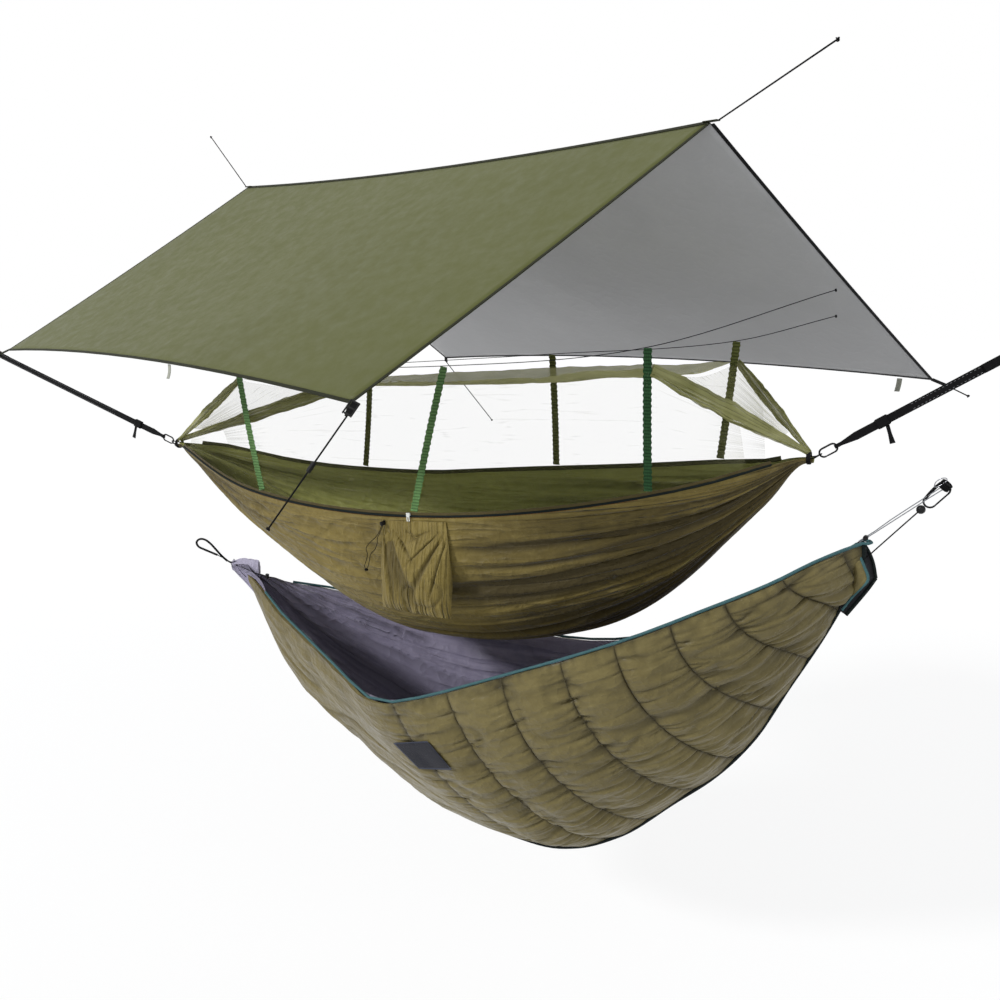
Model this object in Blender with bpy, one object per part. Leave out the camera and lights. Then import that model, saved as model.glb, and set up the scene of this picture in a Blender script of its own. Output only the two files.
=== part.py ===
"""Hammock tent: a ridge fly, a netted hammock on tree straps, and a quilt that hangs below it.

The origin is the outer end of the left tree strap. +X runs along the hammock to the right
strap, +Y points to the far side and +Z up. Every size is in metres.
"""
import math

import bmesh
import bpy
from mathutils import Matrix, Vector

# Shared clearances and cloth
GAP = 0.0003
CLOTH = 0.0016
NET_CLOTH = 0.0012
RING_STEPS = 12
CORD_SAMPLES = 300
CORD_TURN = 0.18
CORD_STEP = 18

# Line that the tree straps and the bed hang on
LEFT_STRAP_RUN = 1.261
LEFT_STRAP_DROP = 0.407
HAMMOCK_SPAN = 2.894
HAMMOCK_RISE = 0.145
RIGHT_STRAP_RUN = 0.568
RIGHT_STRAP_RISE = 0.368

# Tree straps
STRAP_WIDTH = 0.028
STRAP_THICKNESS = 0.0024
STRAP_NECK_WIDTH = 0.013
STRAP_EYE_LENGTH = 0.085
STRAP_EYE_SPREAD = 0.028
STRAP_OVERLAP = 0.07
KNOT_LENGTH = 0.045
KNOT_DEPTH = 0.018
KNOT_FROM_BED = 0.25
KNOT_TAIL_LENGTH = 0.062
KNOT_TAIL_WIDTH = 0.012

# Hammock carabiners
CARABINER_LENGTH = 0.070
CARABINER_WIDTH = 0.036
CARABINER_ROD = 0.0066
GATE_DIAMETER = 0.0056
GATE_PIN = 0.0018
TONGUE_THICKNESS = 0.0022
PIN_FROM_ROD_END = 0.0038
TONGUE_PAST_PIN = 0.0013
SLOT_PAST_PIN = 0.0035
TONGUE_HEIGHT = 0.0046
GATE_CLEARANCE = 0.00035

# Quilt carabiner
QUILT_CARABINER_LENGTH = 0.104
QUILT_CARABINER_WIDTH = 0.046

# Gathered ends of the bed
NECK_RADIUS = 0.017
NECK_SHARE = 0.012
NECK_WALL = 0.0024
LASHING_THICKNESS = 0.005
LASHING_LENGTH = 0.014
LASHING_FROM_END = 0.016
ROPE_DIAMETER = 0.005
LOOP_CORD_DIAMETER = 0.004
SHOCK_CORD_DIAMETER = 0.0035

# Bed
OPENING_WIDTH = 0.82
BELLY_DROP = 0.79
FAR_RIM_DROP = 0.175
ARC_START_SHARE = 0.2484
ARC_START_OUT = 0.31
ARC_START_DROP = 0.113
ARC_MIDDLE_SHARE = 0.5663
ARC_MIDDLE_OUT = 0.41
ARC_MIDDLE_DROP = 0.105
ARC_END_SHARE = 0.8794
ARC_END_OUT = 0.27
ARC_END_RISE = 0.058
SIDE_PANEL_TURN = 50.0
LEFT_RIM_SHARES = (1.0, -0.62, -0.07)
RIGHT_RIM_SHARES = (0.75, 0.75, 0.08)
SEAM_GAP = 0.0006
SIDE_FOLD_STEPS = 6
BOTTOM_FOLD_STEPS = 6
BED_FOLD = 0.012
BED_FOLD_SHARES = (
    (0, 0), (0.035, 0), (0.075, 0.45), (0.16, 1.0), (0.28, 0.6), (0.42, 0.3), (0.55, 0.3), (0.7, 0.75),
    (0.84, 1.0), (0.92, 0.6), (0.965, 0), (1, 0))
FAR_WIDTH_SHARES = (
    (0, 0), (0.012, 0), (0.075, 0.45), (0.118, 0.6), (0.225, 0.8), (0.28, 0.88), (0.39, 0.975), (0.5, 1.0),
    (0.65, 0.97), (0.748, 0.9), (0.868, 0.72), (0.929, 0.48), (0.988, 0), (1, 0))
FAR_DROP_SHARES = (
    (0, 0), (0.012, 0), (0.075, 0.3), (0.118, 0.55), (0.225, 0.85), (0.28, 0.93), (0.39, 1.0), (0.484, 0.92),
    (0.576, 0.82), (0.667, 0.73), (0.748, 0.63), (0.868, 0.43), (0.929, 0.31), (0.988, 0), (1, 0))
BELLY_SHARES = (
    (0, 0), (0.012, 0), (0.035, 0.05), (0.066, 0.13), (0.114, 0.26), (0.166, 0.377), (0.225, 0.516),
    (0.283, 0.657), (0.342, 0.78), (0.38, 0.86), (0.463, 0.975), (0.553, 1.0), (0.615, 0.985),
    (0.688, 0.935), (0.75, 0.86), (0.81, 0.736), (0.86, 0.59), (0.885, 0.484), (0.923, 0.31),
    (0.955, 0.18), (0.988, 0), (1, 0))

# Zip on the near rim
ZIP_TAPE_WIDTH = 0.014
ZIP_TAPE_THICKNESS = 0.0024
ZIP_START_SHARE = 0.03
SLIDER_RUN = 1.525
SLIDER_LENGTH = 0.016
SLIDER_HEIGHT = 0.0115
SLIDER_THICKNESS = 0.0076
PULL_LENGTH = 0.028
PULL_WIDTH = 0.013
PULL_THICKNESS = 0.0022
PULL_SLOT_LENGTH = 0.014
PULL_SLOT_WIDTH = 0.0055

# Stuff pouch on the near rim
POUCH_RUN = 1.548
POUCH_TOP_WIDTH = 0.268
POUCH_WIDTH = 0.305
POUCH_HEIGHT = 0.37
POUCH_DEPTH = 0.042
POUCH_HEM_DEPTH = 0.004
POUCH_BELOW_RIM = 0.018
POUCH_SLANT = 0.03
POUCH_FOLDS = 5
POUCH_FOLD_DEPTH = 0.005
POUCH_SEAT = 0.0002
POUCH_WIDTH_SHARES = ((0, 0.0), (0.1, 0.3), (0.35, 0.7), (0.7, 1.0), (0.9, 0.93), (1, 0.7))
POUCH_DEPTH_SHARES = ((0, 0.0), (0.08, 0.05), (0.25, 0.5), (0.55, 0.95), (0.8, 1.0), (0.95, 0.5), (1, 0.1))

# Cord locks
LOCK_DIAMETER = 0.017
LOCK_HEIGHT = 0.019
LOCK_CLEARANCE = 0.0004
BUTTON_DIAMETER = 0.0105
BUTTON_PROUD = 0.0045
BUTTON_DEPTH = 0.0055
BUTTON_TRAVEL = 0.0025
BALL_DIAMETER = 0.030
BALL_BORE = 0.0062
DRAWCORD_DIAMETER = 0.0026
DRAWCORD_PITCH = 0.0036

# Net
NET_START_SHARE = 0.06
ROOF_HALF_WIDTH = 0.30
RIBBON_OFF_NET = 0.0035
RIBBON_OFF_CORNER = 0.012
RIBBON_SLACK = 0.0009
RIBBON_BEND_SLACK = 0.0022
RIBBON_WIDTH = 0.025
RIBBON_THICKNESS = 0.0012
RIBBON_TURNBACK = 0.03
HIP_WIDTH = 0.026
HIP_THICKNESS = 0.004
RIDGE_CORD_DIAMETER = 0.003
NET_HEIGHT = 0.454
NEAR_ROOF_SHARES = ((0.2291, 0.771), (0.5591, 0.830), (0.8265, 1.0))
FAR_ROOF_SHARES = ((0.3093, 0.707), (0.6106, 0.861), (0.8815, 0.969))
NEAR_CORD_TOP_SHARES = ((0.2260, 0.8855), (0.5594, 0.958), (0.8255, 1.1498))
FAR_CORD_TOP_SHARES = ((0.3100, 0.8304), (0.6182, 0.989), (0.8787, 1.1432))
NEAR_FEET_SHARES = (0.2657, 0.5318, 0.8297)
FAR_FEET_SHARES = (0.2813, 0.6113, 0.8635)
NEAR_CORD_END = (4.216, -0.20, 0.299)
FAR_CORD_END = (4.168, 0.20, 0.210)

# Fly sheet
FLY_RIDGE = 2.957
FLY_YAW = -21.8
FLY_FRONT = (3.809, -0.249, 0.811)
FLY_REAR_RISE = 0.022
FLY_RIDGE_SAG = 0.03
NEAR_FOOT = (-0.408, -1.082, -0.822)
FAR_FOOT = (0.175, 1.288, -0.859)
NEAR_REAR_FOOT = (-0.422, -1.144, -0.824)
FAR_REAR_FOOT = (0.102, 1.236, -0.943)
HEM_LIFT = 0.045
PANEL_BILLOW = 0.035
BINDING_WIDTH = 0.013
RIDGE_INSET = 0.006
FLY_ROWS = 12
FLY_COLUMNS = 8
BINDING_THICKNESS = 0.0026
RIDGE_TAPE_WIDTH = 0.03
RIDGE_TAPE_THICKNESS = 0.0022
TAB_LENGTH = 0.055
TAB_WIDTH = 0.020
TAB_THICKNESS = 0.004
CORNER_TAB_START = 0.013
RIDGE_TAB_START = -0.019
GUYLINE_DIAMETER = 0.004
FRONT_GUY = (4.232, -0.597, 0.936)
REAR_GUY = (0.581, 1.114, 1.148)
NEAR_FRONT_GUY = (2.934, -1.383, -0.341)
NEAR_REAR_GUY = (0.120, -0.150, -0.030)
FAR_FRONT_GUY = (4.596, 1.087, -0.133)
FAR_REAR_GUY = (1.807, 2.220, -0.525)
TENSIONER_FROM_FOOT = 0.235
TENSIONER_LENGTH = 0.034
TENSIONER_WIDTH = 0.016
TENSIONER_DEPTH = 0.009
TENSIONER_TRAVEL = 0.12

# Quilt
QUILT_START = (1.555, 0.0, -0.955)
QUILT_SPAN = 2.78
QUILT_RISE = 0.41
QUILT_HALF_WIDTH = 0.46
QUILT_NEAR_DROP = 0.48
QUILT_FAR_DROP = 0.512
QUILT_BELLY_DROP = 1.285
QUILT_NECK = 0.013
QUILT_LOFT = 0.022
QUILT_INNER_LOFT = 0.010
QUILT_SEAM_THICKNESS = 0.005
QUILT_TAPER_WIDTH = 0.16
QUILT_BINDING = 0.011
LINING_CLEARANCE = 0.0018
LINING_FOLD = 0.009
QUILT_SKEW_SHARE = 0.18
CHANNEL_STEPS = 4
QUILT_STEPS = 8
END_PANEL_STEPS = 9
CHANNEL_SHARES = (0.42, 0.507, 0.588, 0.669, 0.735, 0.80, 0.86, 0.92, 0.98)
QUILT_SKEW_SHARES = (
    (0, 0), (0.2, 0.35), (0.42, 1.0), (0.507, 0.86), (0.588, 0.73), (0.669, 0.63), (0.735, 0.57),
    (0.80, 0.48), (0.86, 0.37), (0.92, 0.24), (0.98, 0.06), (1, 0))
QUILT_NEAR_WIDTH_SHARES = (
    (0, 0), (0.056, 0.076), (0.135, 0.26), (0.218, 0.48), (0.3075, 0.72), (0.369, 0.913),
    (0.405, 0.978), (0.461, 1.0), (0.595, 1.0), (0.685, 0.957), (0.764, 0.848), (0.833, 0.717),
    (0.908, 0.5), (0.955, 0.283), (0.984, 0.1), (1, 0.03))
QUILT_NEAR_DROP_SHARES = (
    (0, 0), (0.056, 0.135), (0.135, 0.43), (0.218, 0.64), (0.3075, 0.86), (0.369, 0.985),
    (0.405, 1.0), (0.461, 0.945), (0.52, 0.854), (0.595, 0.725), (0.685, 0.58), (0.764, 0.448),
    (0.833, 0.31), (0.908, 0.167), (0.955, 0.06), (1, 0))
QUILT_FAR_WIDTH_SHARES = (
    (0, 0), (0.056, 0.065), (0.133, 0.435), (0.354, 0.913), (0.6, 0.978), (0.808, 0.76),
    (0.933, 0.326), (1, 0.03))
QUILT_FAR_DROP_SHARES = (
    (0, 0), (0.056, 0.17), (0.133, 0.36), (0.354, 0.756), (0.6025, 1.0), (0.808, 0.748),
    (0.933, 0.264), (1, 0))
QUILT_TAUT_SHARES = ((0, 0.8), (0.25, 0.8), (0.42, 0.5), (0.6, 0.2), (0.8, 0.15), (1, 0.3))
QUILT_BELLY_SHARES = (
    (0, 0.03), (0.042, 0.086), (0.071, 0.205), (0.117, 0.383), (0.17, 0.514), (0.217, 0.593),
    (0.295, 0.715), (0.412, 0.893), (0.52, 0.957), (0.595, 0.985), (0.632, 0.976), (0.70, 0.918),
    (0.779, 0.786), (0.835, 0.688), (0.883, 0.565), (0.923, 0.405), (0.962, 0.25), (1, 0.07))

# Cord routes, chosen by hand
LEFT_LOOP_CORD_ROUTE = (
    (1.8080, -0.0300, -0.9880), (1.7850, -0.0300, -0.9855), (1.7620, -0.0300, -0.9830),
    (1.7390, -0.0300, -0.9805), (1.7160, -0.0295, -0.9780), (1.6600, -0.0200, -0.9700),
    (1.6000, -0.0070, -0.9620), (1.5600, -0.0020, -0.9560), (1.5150, -0.0020, -0.9420),
    (1.4700, -0.0040, -0.9270), (1.4300, -0.0060, -0.9170), (1.3900, -0.0060, -0.9080),
    (1.3550, -0.0040, -0.8980), (1.3420, 0.0000, -0.8820), (1.3560, 0.0030, -0.8660),
    (1.3900, 0.0040, -0.8630), (1.4250, 0.0050, -0.8800), (1.4550, 0.0060, -0.9050),
    (1.4850, 0.0090, -0.9330), (1.5150, 0.0125, -0.9550), (1.5400, 0.0130, -0.9640),
    (1.5543, 0.0130, -0.9660))
POUCH_CORD_ROUTE = (
    (2.6820, -0.4192, -0.5420), (2.6755, -0.4192, -0.5560), (2.6690, -0.4192, -0.5700),
    (2.6570, -0.4192, -0.5960), (2.6410, -0.4192, -0.6160), (2.6160, -0.4192, -0.6390),
    (2.5975, -0.4192, -0.6640), (2.6030, -0.4192, -0.6880), (2.5945, -0.4192, -0.7170),
    (2.5880, -0.4192, -0.7380), (2.5950, -0.4192, -0.7450), (2.6030, -0.4192, -0.7360),
    (2.6110, -0.4192, -0.7090), (2.6170, -0.4192, -0.6860), (2.6380, -0.4192, -0.6620),
    (2.6490, -0.4192, -0.6360), (2.6500, -0.4192, -0.6180), (2.66108, -0.4192, -0.59790),
    (2.67308, -0.4192, -0.57190), (2.67958, -0.4192, -0.55790), (2.68608, -0.4192, -0.54390))
SHOCK_CORD_ROUTE = (
    (4.32068, -0.0140, -0.53443), (4.34366, -0.0140, -0.51514), (4.36664, -0.0140, -0.49585),
    (4.38196, -0.0140, -0.48299), (4.41038, -0.0140, -0.45463), (4.44785, -0.0135, -0.42148),
    (4.48602, -0.0120, -0.38918), (4.52432, -0.0092, -0.35703), (4.56645, -0.0092, -0.32166),
    (4.56815, -0.0092, -0.32089), (4.57195, -0.0092, -0.32044), (4.57362, -0.0092, -0.32087),
    (4.57375, -0.0092, -0.32258), (4.57265, -0.0092, -0.32625), (4.57159, -0.0092, -0.32779),
    (4.52946, -0.0092, -0.36316), (4.49116, -0.0120, -0.39531), (4.45299, -0.0135, -0.42761),
    (4.41488, -0.0140, -0.45999), (4.38460, -0.0140, -0.48613), (4.36928, -0.0140, -0.49899),
    (4.34630, -0.0140, -0.51828), (4.32332, -0.0140, -0.53757))
HANG_CORD_ROUTE = (
    (4.3364, -0.0198, -0.5925), (4.3430, -0.0175, -0.5910), (4.3560, -0.0095, -0.5810),
    (4.3800, -0.0055, -0.5530), (4.4100, -0.0050, -0.5180),
    (4.4400, -0.0045, -0.4830), (4.4700, -0.0040, -0.4480), (4.4950, -0.0040, -0.4190))

# Colours: linear RGB, roughness, metallic
FINISHES = {
    "fly_olive": ((0.165, 0.170, 0.070), 0.62, 0.0),
    "fly_grey": ((0.290, 0.290, 0.295), 0.55, 0.0),
    "binding_black": ((0.010, 0.010, 0.012), 0.75, 0.0),
    "bed_olive": ((0.245, 0.195, 0.075), 0.6, 0.0),
    "rim_slate": ((0.030, 0.045, 0.042), 0.7, 0.0),
    "net_olive": ((0.270, 0.262, 0.095), 0.8, 0.0),
    "ribbon_green": ((0.085, 0.175, 0.070), 0.7, 0.0),
    "webbing_black": ((0.006, 0.006, 0.008), 0.8, 0.0),
    "anodised_black": ((0.012, 0.012, 0.014), 0.35, 1.0),
    "plastic_black": ((0.012, 0.012, 0.014), 0.45, 0.0),
    "zip_white": ((0.800, 0.800, 0.780), 0.5, 0.0),
    "quilt_olive": ((0.250, 0.215, 0.110), 0.55, 0.0),
    "quilt_teal": ((0.085, 0.150, 0.155), 0.7, 0.0),
    "lining_lilac": ((0.210, 0.190, 0.260), 0.6, 0.0),
    "cord_grey": ((0.420, 0.420, 0.430), 0.6, 0.0),
}

LEFT_GATHER = Vector((LEFT_STRAP_RUN, 0, -LEFT_STRAP_DROP))
RIGHT_GATHER = LEFT_GATHER + Vector((HAMMOCK_SPAN, 0, HAMMOCK_RISE))
RIGHT_ANCHOR = RIGHT_GATHER + Vector((RIGHT_STRAP_RUN, 0, RIGHT_STRAP_RISE))
UP = Vector((0, 0, 1))
ACROSS = Vector((0, 1, 0))


# General helpers

def clear_scene():
    for old in list(bpy.data.objects):
        bpy.data.objects.remove(old, do_unlink=True)


def share_at(table, t):
    """Read a table of (place, share) pairs along a smooth curve without overshoot."""
    t = min(max(t, table[0][0]), table[-1][0])
    slopes = []
    for (t0, v0), (t1, v1) in zip(table, table[1:]):
        slopes.append((v1 - v0) / (t1 - t0))
    tangents = [slopes[0]]
    for before, after in zip(slopes, slopes[1:]):
        flat = before * after <= 0
        tangents.append(0 if flat else 2 * before * after / (before + after))
    tangents.append(slopes[-1])
    for i, ((t0, v0), (t1, v1)) in enumerate(zip(table, table[1:])):
        if t <= t1:
            return hermite(v0, v1, tangents[i] * (t1 - t0), tangents[i + 1] * (t1 - t0),
                           (t - t0) / (t1 - t0))
    return table[-1][1]


def hermite(start, end, start_tangent, end_tangent, f):
    return (start * (2 * f ** 3 - 3 * f ** 2 + 1) + start_tangent * (f ** 3 - 2 * f ** 2 + f)
            + end * (3 * f ** 2 - 2 * f ** 3) + end_tangent * (f ** 3 - f ** 2))


def smooth_route(route, count):
    """Points at even steps along a smooth curve through the route's own points."""
    points = [Vector(p) for p in route]
    if len(points) == 2:
        return [points[0].lerp(points[1], i / (count - 1)) for i in range(count)]
    dense = []
    for i in range(len(points) - 1):
        run = (points[i + 1] - points[i]).length
        leaving = tangent_at(points, i) * run
        arriving = tangent_at(points, i + 1) * run
        for k in range(12):
            dense.append(hermite(points[i], points[i + 1], leaving, arriving, k / 12))
    dense.append(points[-1])
    return even_points(dense, count)


def even_points(dense, count):
    lengths = [0.0]
    for a, b in zip(dense, dense[1:]):
        lengths.append(lengths[-1] + (b - a).length)
    points = []
    k = 0
    for i in range(count):
        target = lengths[-1] * i / (count - 1)
        while k < len(dense) - 2 and lengths[k + 1] < target:
            k += 1
        f = (target - lengths[k]) / max(lengths[k + 1] - lengths[k], GAP * GAP)
        points.append(dense[k].lerp(dense[k + 1], min(max(f, 0), 1)))
    return points


def tangent_at(points, i):
    """The direction half way between a path's two segments at a point."""
    ahead = points[min(i + 1, len(points) - 1)] - points[i]
    behind = points[i] - points[max(i - 1, 0)]
    return (ahead.normalized() + behind.normalized()).normalized()


def frame_at(origin, along, up_hint):
    """A placement whose X runs along, with Z as near up_hint as it can be."""
    x = along.normalized()
    y = up_hint.cross(x).normalized()
    z = x.cross(y)
    return Matrix.Translation(origin) @ Matrix((x, y, z)).transposed().to_4x4()


def add_object(name, data, finish, place=None):
    made = bpy.data.objects.new(name, data)
    bpy.context.scene.collection.objects.link(made)
    if place is not None:
        made.matrix_world = place
    if finish is not None:
        colour, roughness, metallic = FINISHES[finish]
        material = bpy.data.materials.new(name + "_finish")
        material.use_nodes = True
        shader = material.node_tree.nodes["Principled BSDF"]
        shader.inputs["Base Color"].default_value = (*colour, 1)
        shader.inputs["Roughness"].default_value = roughness
        shader.inputs["Metallic"].default_value = metallic
        material.diffuse_color = (*colour, 1)
        data.materials.append(material)
    return made


def mesh_object(name, verts, faces, finish, place=None, sharp_degrees=40):
    mesh = bpy.data.meshes.new(name)
    mesh.from_pydata([tuple(v) for v in verts], [], faces)
    mesh.validate()
    shaper = bmesh.new()
    shaper.from_mesh(mesh)
    bmesh.ops.recalc_face_normals(shaper, faces=shaper.faces)
    shaper.to_mesh(mesh)
    shaper.free()
    mesh.shade_smooth()
    mesh.set_sharp_from_angle(angle=math.radians(sharp_degrees))
    return add_object(name, mesh, finish, place)


def grid_faces(rows, columns, offset=0, flip=False):
    """Two triangles a cell, split the same way on both skins so that they stay parallel."""
    faces = []
    for r in range(rows - 1):
        for c in range(columns - 1):
            a = offset + r * columns + c
            b, across, below = a + 1, a + columns + 1, a + columns
            for face in ((a, b, across), (a, across, below)):
                faces.append(face[::-1] if flip else face)
    return faces


def shell_between(name, outer, inner, finish):
    """One closed body between two grids of the same size."""
    rows, columns = len(outer), len(outer[0])
    verts = [p for row in outer for p in row] + [p for row in inner for p in row]
    count = rows * columns
    faces = grid_faces(rows, columns) + grid_faces(rows, columns, count, True)
    edge = [(0, c) for c in range(columns)] + [(r, columns - 1) for r in range(1, rows)]
    edge += [(rows - 1, c) for c in range(columns - 2, -1, -1)] + [(r, 0) for r in range(rows - 2, 0, -1)]
    loop = [r * columns + c for r, c in edge]
    for a, b in zip(loop, loop[1:] + loop[:1]):
        faces.append((a, a + count, b + count, b))
    return mesh_object(name, verts, faces, finish, sharp_degrees=60)


def grid_normals(rows):
    normals = []
    last_row, last_column = len(rows) - 1, len(rows[0]) - 1
    for r in range(len(rows)):
        line = []
        for c in range(len(rows[0])):
            along = rows[min(r + 1, last_row)][c] - rows[max(r - 1, 0)][c]
            over = rows[r][min(c + 1, last_column)] - rows[r][max(c - 1, 0)]
            line.append(along.cross(over).normalized())
        normals.append(line)
    return normals


def sheet(name, rows, thickness, finish, normals=None):
    """Cloth of even thickness on a grid of points."""
    normals = normals or grid_normals(rows)
    outer = [[p + n * (thickness / 2) for p, n in zip(row, line)] for row, line in zip(rows, normals)]
    inner = [[p - n * (thickness / 2) for p, n in zip(row, line)] for row, line in zip(rows, normals)]
    return shell_between(name, outer, inner, finish)


def loft(name, rings, finish, place=None, sharp_degrees=40):
    """A closed body through rings of points, capped at both ends."""
    steps = len(rings[0])
    verts = [p for ring in rings for p in ring]
    faces = []
    for r in range(len(rings) - 1):
        for k in range(steps):
            a, b = r * steps + k, r * steps + (k + 1) % steps
            faces.append((a, b, b + steps, a + steps))
    faces.append(tuple(range(steps))[::-1])
    faces.append(tuple(range((len(rings) - 1) * steps, len(rings) * steps)))
    return mesh_object(name, verts, faces, finish, place, sharp_degrees)


def swept_rings(points, radius, steps=RING_STEPS):
    """Circles square to a path, turned as little as possible from one to the next."""
    rings = []
    side = None
    for i, point in enumerate(points):
        along = tangent_at(points, i)
        if side is None:
            side = along.orthogonal().normalized()
        side = (side - along * side.dot(along)).normalized()
        other = along.cross(side)
        ring = []
        for k in range(steps):
            turn = 2 * math.pi * k / steps
            ring.append(point + (side * math.cos(turn) + other * math.sin(turn)) * radius)
        rings.append(ring)
    return rings


def turned(name, profile, finish, place=None, steps=16):
    """A solid turned about local Z from (radius, height) pairs, bottom to top."""
    rings = []
    for radius, height in profile:
        ring = []
        for k in range(steps):
            turn = 2 * math.pi * k / steps
            ring.append(Vector((radius * math.cos(turn), radius * math.sin(turn), height)))
        rings.append(ring)
    return loft(name, rings, finish, place)


def strip(name, points, widths, thickness, across, finish):
    """Webbing of a rectangular section along a path; across is the direction of its width."""
    rings = []
    for i, point in enumerate(points):
        along = tangent_at(points, i)
        wide = across[i] if isinstance(across, list) else across
        wide = (wide - along * wide.dot(along)).normalized()
        thick = along.cross(wide) * (thickness / 2)
        wide = wide * ((widths[i] if isinstance(widths, list) else widths) / 2)
        rings.append([point + wide + thick, point - wide + thick, point - wide - thick, point + wide - thick])
    return loft(name, rings, finish)


def bend_points(dense, longest):
    """Keep the points of a smooth path where it has turned or run on far enough."""
    kept = [dense[0]]
    way = dense[1] - dense[0]
    for i in range(1, len(dense) - 1):
        ahead = dense[i + 1] - dense[i]
        if way.angle(ahead) > CORD_TURN or (dense[i] - kept[-1]).length > longest:
            kept.append(dense[i])
            way = ahead
    return kept + [dense[-1]]


def cord(name, route, diameter, finish, resolution=2):
    """A round cord along a smooth curve through its route."""
    points = bend_points(smooth_route(route, CORD_SAMPLES), diameter * CORD_STEP)
    curve = bpy.data.curves.new(name, "CURVE")
    curve.dimensions = "3D"
    spline = curve.splines.new("POLY")
    spline.points.add(len(points) - 1)
    for place, point in zip(spline.points, points):
        place.co = (*point, 1)
    curve.bevel_depth = diameter / 2
    curve.bevel_resolution = resolution
    curve.use_fill_caps = True
    return add_object(name, curve, finish)


def box_at(name, size, finish, place, bevel=0.0):
    x, y, z = (s / 2 for s in size)
    verts = [(sx * x, sy * y, sz * z) for sx in (-1, 1) for sy in (-1, 1) for sz in (-1, 1)]
    faces = [(0, 1, 3, 2), (4, 6, 7, 5), (0, 4, 5, 1), (2, 3, 7, 6), (0, 2, 6, 4), (1, 5, 7, 3)]
    made = mesh_object(name, verts, faces, finish, place)
    if bevel:
        rounding = made.modifiers.new("rounding", "BEVEL")
        rounding.width = bevel
        rounding.segments = 2
    return made


def combine(target, tool, operation):
    """Cut the tool from the target, or join it on; the tool stays as a hidden guide."""
    step = target.modifiers.new(operation.lower(), "BOOLEAN")
    step.operation = operation
    step.solver = "EXACT"
    step.object = tool
    tool.hide_render = True
    tool.display_type = "WIRE"


# Lines of the bed

def on_line(t):
    return LEFT_GATHER.lerp(RIGHT_GATHER, t)


def circle_through(a, b, c):
    """Centre, radius and unit axis of the circle through three points."""
    u, v = b - a, c - a
    axis = u.cross(v)
    centre = a + (v.length_squared * axis.cross(u) + u.length_squared * v.cross(axis)) / (
        2 * axis.length_squared)
    return centre, (a - centre).length, axis.normalized()


ARC_START = LEFT_GATHER + Vector((HAMMOCK_SPAN * ARC_START_SHARE, -ARC_START_OUT, -ARC_START_DROP))
ARC_MIDDLE = LEFT_GATHER + Vector((HAMMOCK_SPAN * ARC_MIDDLE_SHARE, -ARC_MIDDLE_OUT, -ARC_MIDDLE_DROP))
ARC_END = LEFT_GATHER + Vector((HAMMOCK_SPAN * ARC_END_SHARE, -ARC_END_OUT, ARC_END_RISE))
ARC_CENTRE, ARC_RADIUS, ARC_AXIS = circle_through(ARC_START, ARC_MIDDLE, ARC_END)
ARC_SWEEP = (ARC_START - ARC_CENTRE).angle(ARC_END - ARC_CENTRE)


def arc_point(turn):
    return ARC_CENTRE + Matrix.Rotation(turn, 3, ARC_AXIS) @ (ARC_START - ARC_CENTRE)


def arc_tangent(turn):
    return (ARC_AXIS.cross(arc_point(turn) - ARC_CENTRE)).normalized()


def near_rim(t):
    """The near rim: an exact arc between two end curves, so the zip slider can follow it."""
    if t <= NECK_SHARE or t >= 1 - NECK_SHARE:
        return on_line(t) - ACROSS * NECK_RADIUS
    if t < ARC_START_SHARE:
        neck = on_line(NECK_SHARE) - ACROSS * NECK_RADIUS
        reach = (ARC_START - neck).length
        leave = Vector(LEFT_RIM_SHARES).normalized() * reach
        f = (t - NECK_SHARE) / (ARC_START_SHARE - NECK_SHARE)
        return hermite(neck, ARC_START, leave, arc_tangent(0) * reach, f)
    if t > ARC_END_SHARE:
        neck = on_line(1 - NECK_SHARE) - ACROSS * NECK_RADIUS
        reach = (neck - ARC_END).length
        arrive = Vector(RIGHT_RIM_SHARES).normalized() * reach
        f = (t - ARC_END_SHARE) / (1 - NECK_SHARE - ARC_END_SHARE)
        return hermite(ARC_END, neck, arc_tangent(ARC_SWEEP) * reach, arrive, f)
    f = (t - ARC_START_SHARE) / (ARC_END_SHARE - ARC_START_SHARE)
    return arc_point(ARC_SWEEP * f)


def far_rim(t):
    half = NECK_RADIUS + (OPENING_WIDTH / 2 - NECK_RADIUS) * share_at(FAR_WIDTH_SHARES, t)
    return on_line(t) + Vector((0, half, -FAR_RIM_DROP * share_at(FAR_DROP_SHARES, t)))


def belly(t):
    return on_line(t) - UP * (NECK_RADIUS + (BELLY_DROP - NECK_RADIUS) * share_at(BELLY_SHARES, t))


def section_point(rim, bottom, turn):
    """A point on the quarter ellipse that hangs from the rim to the bottom line."""
    c, s = math.cos(turn), math.sin(turn)
    return Vector((rim.x + (bottom.x - rim.x) * (1 - c), bottom.y + (rim.y - bottom.y) * c,
                   rim.z + (bottom.z - rim.z) * s))


def bed_point(side, t, turn):
    rim = near_rim(t) if side < 0 else far_rim(t)
    return section_point(rim, belly(t), turn)


BED_STATION_SHARES = [0, 0.012, 0.022, 0.035, 0.06, 0.1] + [0.14 + 0.04 * i for i in range(19)] + [
    0.9, 0.93, 0.955, 0.975, 0.988, 1]


def folded(side, t, turn, depth_share):
    """A point of the bed, set inward by its share of the folds that run out from the gathers."""
    point = bed_point(side, t, turn)
    inward = Vector((0, -point.y, on_line(t).z - point.z)).normalized()
    return point + inward * (BED_FOLD * share_at(BED_FOLD_SHARES, t) * depth_share)


def seam_turn(t, side):
    """Half the seam's gap as an angle, on the quarter ellipse at this station."""
    rim = near_rim(t) if side < 0 else far_rim(t)
    size = max(abs(rim.y), NECK_RADIUS)
    return SEAM_GAP / (2 * size)


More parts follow.
